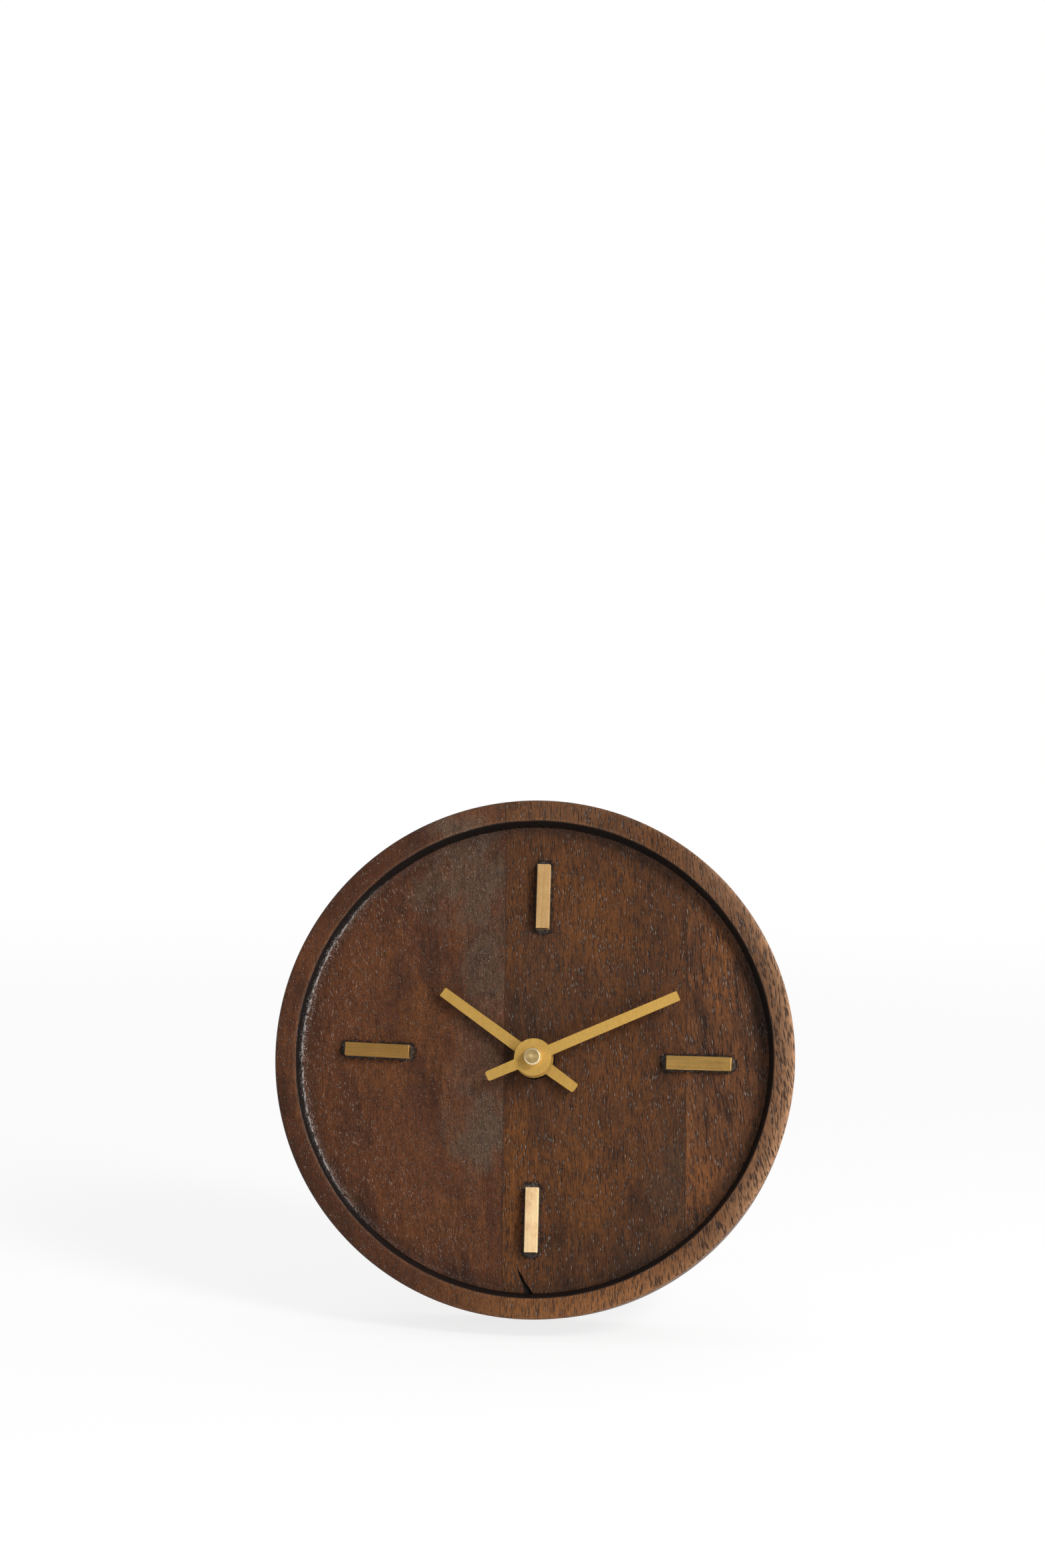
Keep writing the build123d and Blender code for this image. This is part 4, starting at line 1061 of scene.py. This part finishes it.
capNut = {
    "edge": 0.45,
    "edgeRound": 0.12,
    "dimple": 0.22,
    "colour": tone(240, 206, 142),
    "edgeHighlight": tone(255, 232, 190),
    "rough": 0.34,
    "ringPitch": 26.0,
    "bowHighlight": (0.80, 1.18),
}
capPoints = dialPoints("cap_nut")
capRadius = spread(capPoints, 0)[1]
capLow, capHigh = spread(capPoints, 2)


def capFinish():
    pad = FinishPad("turnedCapBrass")
    x, y, _ = pad.parts(pad.place)
    radius = pad.measure(pad.add("CombineXYZ", {0: x, 1: y}).outputs[0])
    rings = pad.maths("SINE", pad.times(radius, capNut["ringPitch"]))
    mottle = pad.cloud((0.5, 0.5, 0.5), 2, 0.6)
    base = pad.grade(capNut["colour"], pad.plus(pad.ease(rings, -1, 1, 0.97, 1.03),
                                                pad.ease(mottle, 0.3, 0.7, -0.05, 0.05)))
    # painted highlight and painted shade: the turned face painted lighter in a band across its middle, darker
    # above and below
    bowHighlight = pad.maths("DIVIDE", pad.size(y), pad.plus(radius, 0.2))
    base = pad.grade(base, pad.ease(bowHighlight, 0.75, 0.1, *capNut["bowHighlight"]))
    # painted highlight: the rounded edge ring painted pale all round
    flatEnds = capRadius - capNut["edge"]
    base = pad.blend(pad.ease(radius, flatEnds - 0.05, flatEnds + 0.05), base, capNut["edgeHighlight"])
    pad.set(Base_Color=base, Metallic=1.0, Roughness=capNut["rough"], Anisotropic=0.5,
            Tangent=pad.add("Tangent", direction_type="RADIAL", axis="Z").outputs[0])
    return pad.material


cap = bmesh.new()
turnOnLathe(cap, roundCorners(
    [(0, capHigh - capNut["dimple"] / 2), (capNut["dimple"], capHigh), (capRadius - capNut["edge"], capHigh),
     (capRadius, capHigh - capNut["edge"]), (capRadius, capLow), (0, capLow)],
    [0, 0, capNut["edgeRound"], capNut["edgeRound"], 0, 0], 0.03), 96)
makePiece(cap, "clock_cap_nut", [capFinish()], "minute_works", ("cap_nut",), 28)
print("hands and cap nut on their arbors")

# What lies behind the dial keeps its CAD shape and gets its own finish


def plasticFinish(name, colour, rough, grainSize=0.25, relief=0.02):
    pad = FinishPad(name)
    grain = pad.cloud((grainSize,) * 3, 3, 0.6)
    drift = pad.cloud((9, 9, 9), 2, 0.5, (3, 1, 2))
    base = pad.grade(colour, pad.ease(drift, 0.3, 0.7, 0.88, 1.1))
    pad.set(Base_Color=base, Roughness=pad.ease(grain, 0.3, 0.7, rough - 0.08, rough + 0.08),
            Normal=pad.bump(grain, relief))
    return pad.material


def metalFinish(name, colour, dark, rough, brushSize=(0.12, 5, 0.12)):
    pad = FinishPad(name)
    lines = pad.cloud(brushSize, 3, 0.6)
    drift = pad.cloud((14, 14, 14), 3, 0.6, (5, 2, 1))
    base = pad.blend(pad.ease(drift, 0.3, 0.75, 0.0, 0.35), colour, dark)
    base = pad.grade(base, pad.ease(lines, 0.3, 0.7, 0.92, 1.06))
    pad.set(Base_Color=base, Metallic=1.0, Roughness=pad.ease(lines, 0.3, 0.7, rough - 0.05, rough + 0.1),
            Normal=pad.bump(lines, 0.01))
    return pad.material


finishes = {
    "turned_brass": metalFinish("turnedBrass", tone(206, 168, 96), tone(170, 128, 66), 0.3, (0.1, 0.1, 3)),
    "plate_brass": metalFinish("plateBrass", tone(190, 154, 92), tone(158, 122, 68), 0.36, (0.14, 9, 9)),
    "black_rubber": plasticFinish("blackRubber", tone(30, 30, 30), 0.8, 0.3, 0.03),
    "black_case": plasticFinish("blackCase", tone(34, 34, 36), 0.45, 0.22, 0.03),
    "white_plastic": plasticFinish("whitePlastic", tone(222, 220, 212), 0.4),
    "motor_steel": metalFinish("motorSteel", tone(170, 170, 172), tone(120, 120, 124), 0.35),
    "spring_steel": metalFinish("springSteel", tone(198, 198, 196), tone(150, 150, 150), 0.25),
    "copper_wire": metalFinish("copperWire", tone(178, 98, 56), tone(140, 70, 40), 0.35, (8, 0.2, 0.2)),
    "board_laminate": plasticFinish("boardLaminate", tone(52, 112, 66), 0.4),
    "chip_resin": plasticFinish("chipResin", tone(20, 20, 20), 0.25),
    "battery_sleeve": plasticFinish("batterySleeve", tone(52, 54, 60), 0.25, 0.6, 0.004),
}
slotOf = {part["node"]: part["material_slot"] for part in frame["record"]["subparts"]}
for name, node in nodes.items():
    finish = finishes.get(slotOf[name])
    if finish and not node.hide_render:
        node.data.materials.clear()
        node.data.materials.append(finish)
print("works, stand and battery finished")

# Floor, light and camera

studio = {
    "floorSize": 6.0,
    "floorShade": 0.88,
    "floorGlow": (0.80, 1.0),   # share of the floor's white that doesn't depend on the light, near and far
    "floorReach": (0.25, 1.3),
    "room": 0.27,               # brightness of the room in front of the clock
    "backdropEdge": (-0.25, 0.2),       # where the room ends and the white backdrop begins
}
lamps = {
    # power, width and height, then metres from the dial: across, up the dial, out of it
    "key_light": (10.3, 0.34, 0.34, (0.72, 0.52, 0.78)),
    "strip_light": (4.3, 0.22, 0.396, (0.72, -0.12, 0.60)),
    "fill_light": (1.0, 0.9, 0.9, (-0.7, 0.5, 0.9)),
}


def seenDirectly(pad):
    # 1 for what the camera sees straight, in metal or through glass
    path = pad.add("LightPath").outputs
    return pad.most(path["Is Camera Ray"], path["Is Glossy Ray"], path["Is Transmission Ray"])


def buildFloor():
    mesh = bpy.data.meshes.new("studio_floor")
    bm = bmesh.new()
    bmesh.ops.create_grid(bm, x_segments=24, y_segments=24, size=studio["floorSize"])
    bm.to_mesh(mesh)
    bm.free()
    floor = addObject("studio_floor", mesh)
    material = bpy.data.materials.new("studioFloor")
    pad = NodePad(material, "OutputMaterial")
    away = pad.measure(pad.add("TexCoord").outputs["Object"])
    share = pad.times(seenDirectly(pad), pad.ease(away, *studio["floorReach"], *studio["floorGlow"]))
    plain = pad.add("BsdfDiffuse", {"Color": (studio["floorShade"],) * 3 + (1,)}).outputs[0]
    glow = pad.add("Emission").outputs[0]
    pad.show(pad.add("MixShader", {0: share, 1: plain, 2: glow}))
    mesh.materials.append(material)


def buildRoom():
    world = bpy.data.worlds.new("studioRoom")
    bpy.context.scene.world = world
    pad = NodePad(world, "OutputWorld")
    depth = pad.parts(pad.add("TexCoord").outputs["Generated"])[1]
    behind = pad.ease(depth, *studio["backdropEdge"], studio["room"])     # the white backdrop, or the room
    shine = pad.most(behind, pad.add("LightPath").outputs["Is Camera Ray"])
    pad.show(pad.add("Background", {"Color": (1, 1, 1, 1), "Strength": shine}))


def hangLamp(name, power, width, height, place):
    data = bpy.data.lights.new(name, "AREA")
    data.shape = "RECTANGLE"
    data.size, data.size_y = width, height
    data.energy = power
    lamp = addObject(name, data)
    lamp.location = dialSpace @ Vector(place)
    lamp.rotation_euler = (faceCentre - lamp.location).to_track_quat("-Z", "Y").to_euler()


buildFloor()
buildRoom()
for lampName, lampLook in lamps.items():
    hangLamp(lampName, *lampLook)
print("studio lit")

view = {
    "azimuth": 4.2,
    "elevation": 9.0,
    "roll": 1.35,
    "distance": 0.85,
    "lens": 63.65,
    "sensor": 36.0,
    "shiftX": -0.0069,
    "shiftY": 0.1745,
}


def placeCamera():
    data = bpy.data.cameras.new("view_camera")
    data.sensor_width = view["sensor"]
    data.lens = view["lens"]
    data.shift_x, data.shift_y = view["shiftX"], view["shiftY"]
    data.clip_start, data.clip_end = 0.01, 20
    camera = addObject("view_camera", data)
    turn, rise = math.radians(view["azimuth"]), math.radians(view["elevation"])
    back = Vector((math.sin(turn) * math.cos(rise), -math.cos(turn) * math.cos(rise), math.sin(rise)))
    camera.location = faceCentre + back * view["distance"]
    aim = (-back).to_track_quat("-Z", "Y").to_matrix().to_4x4()
    roll = Matrix.Rotation(math.radians(view["roll"]), 4, "Z")
    camera.rotation_euler = (aim @ roll).to_euler()
    bpy.context.scene.camera = camera


placeCamera()
bpy.context.scene.view_settings.view_transform = "Standard"
print("camera placed")
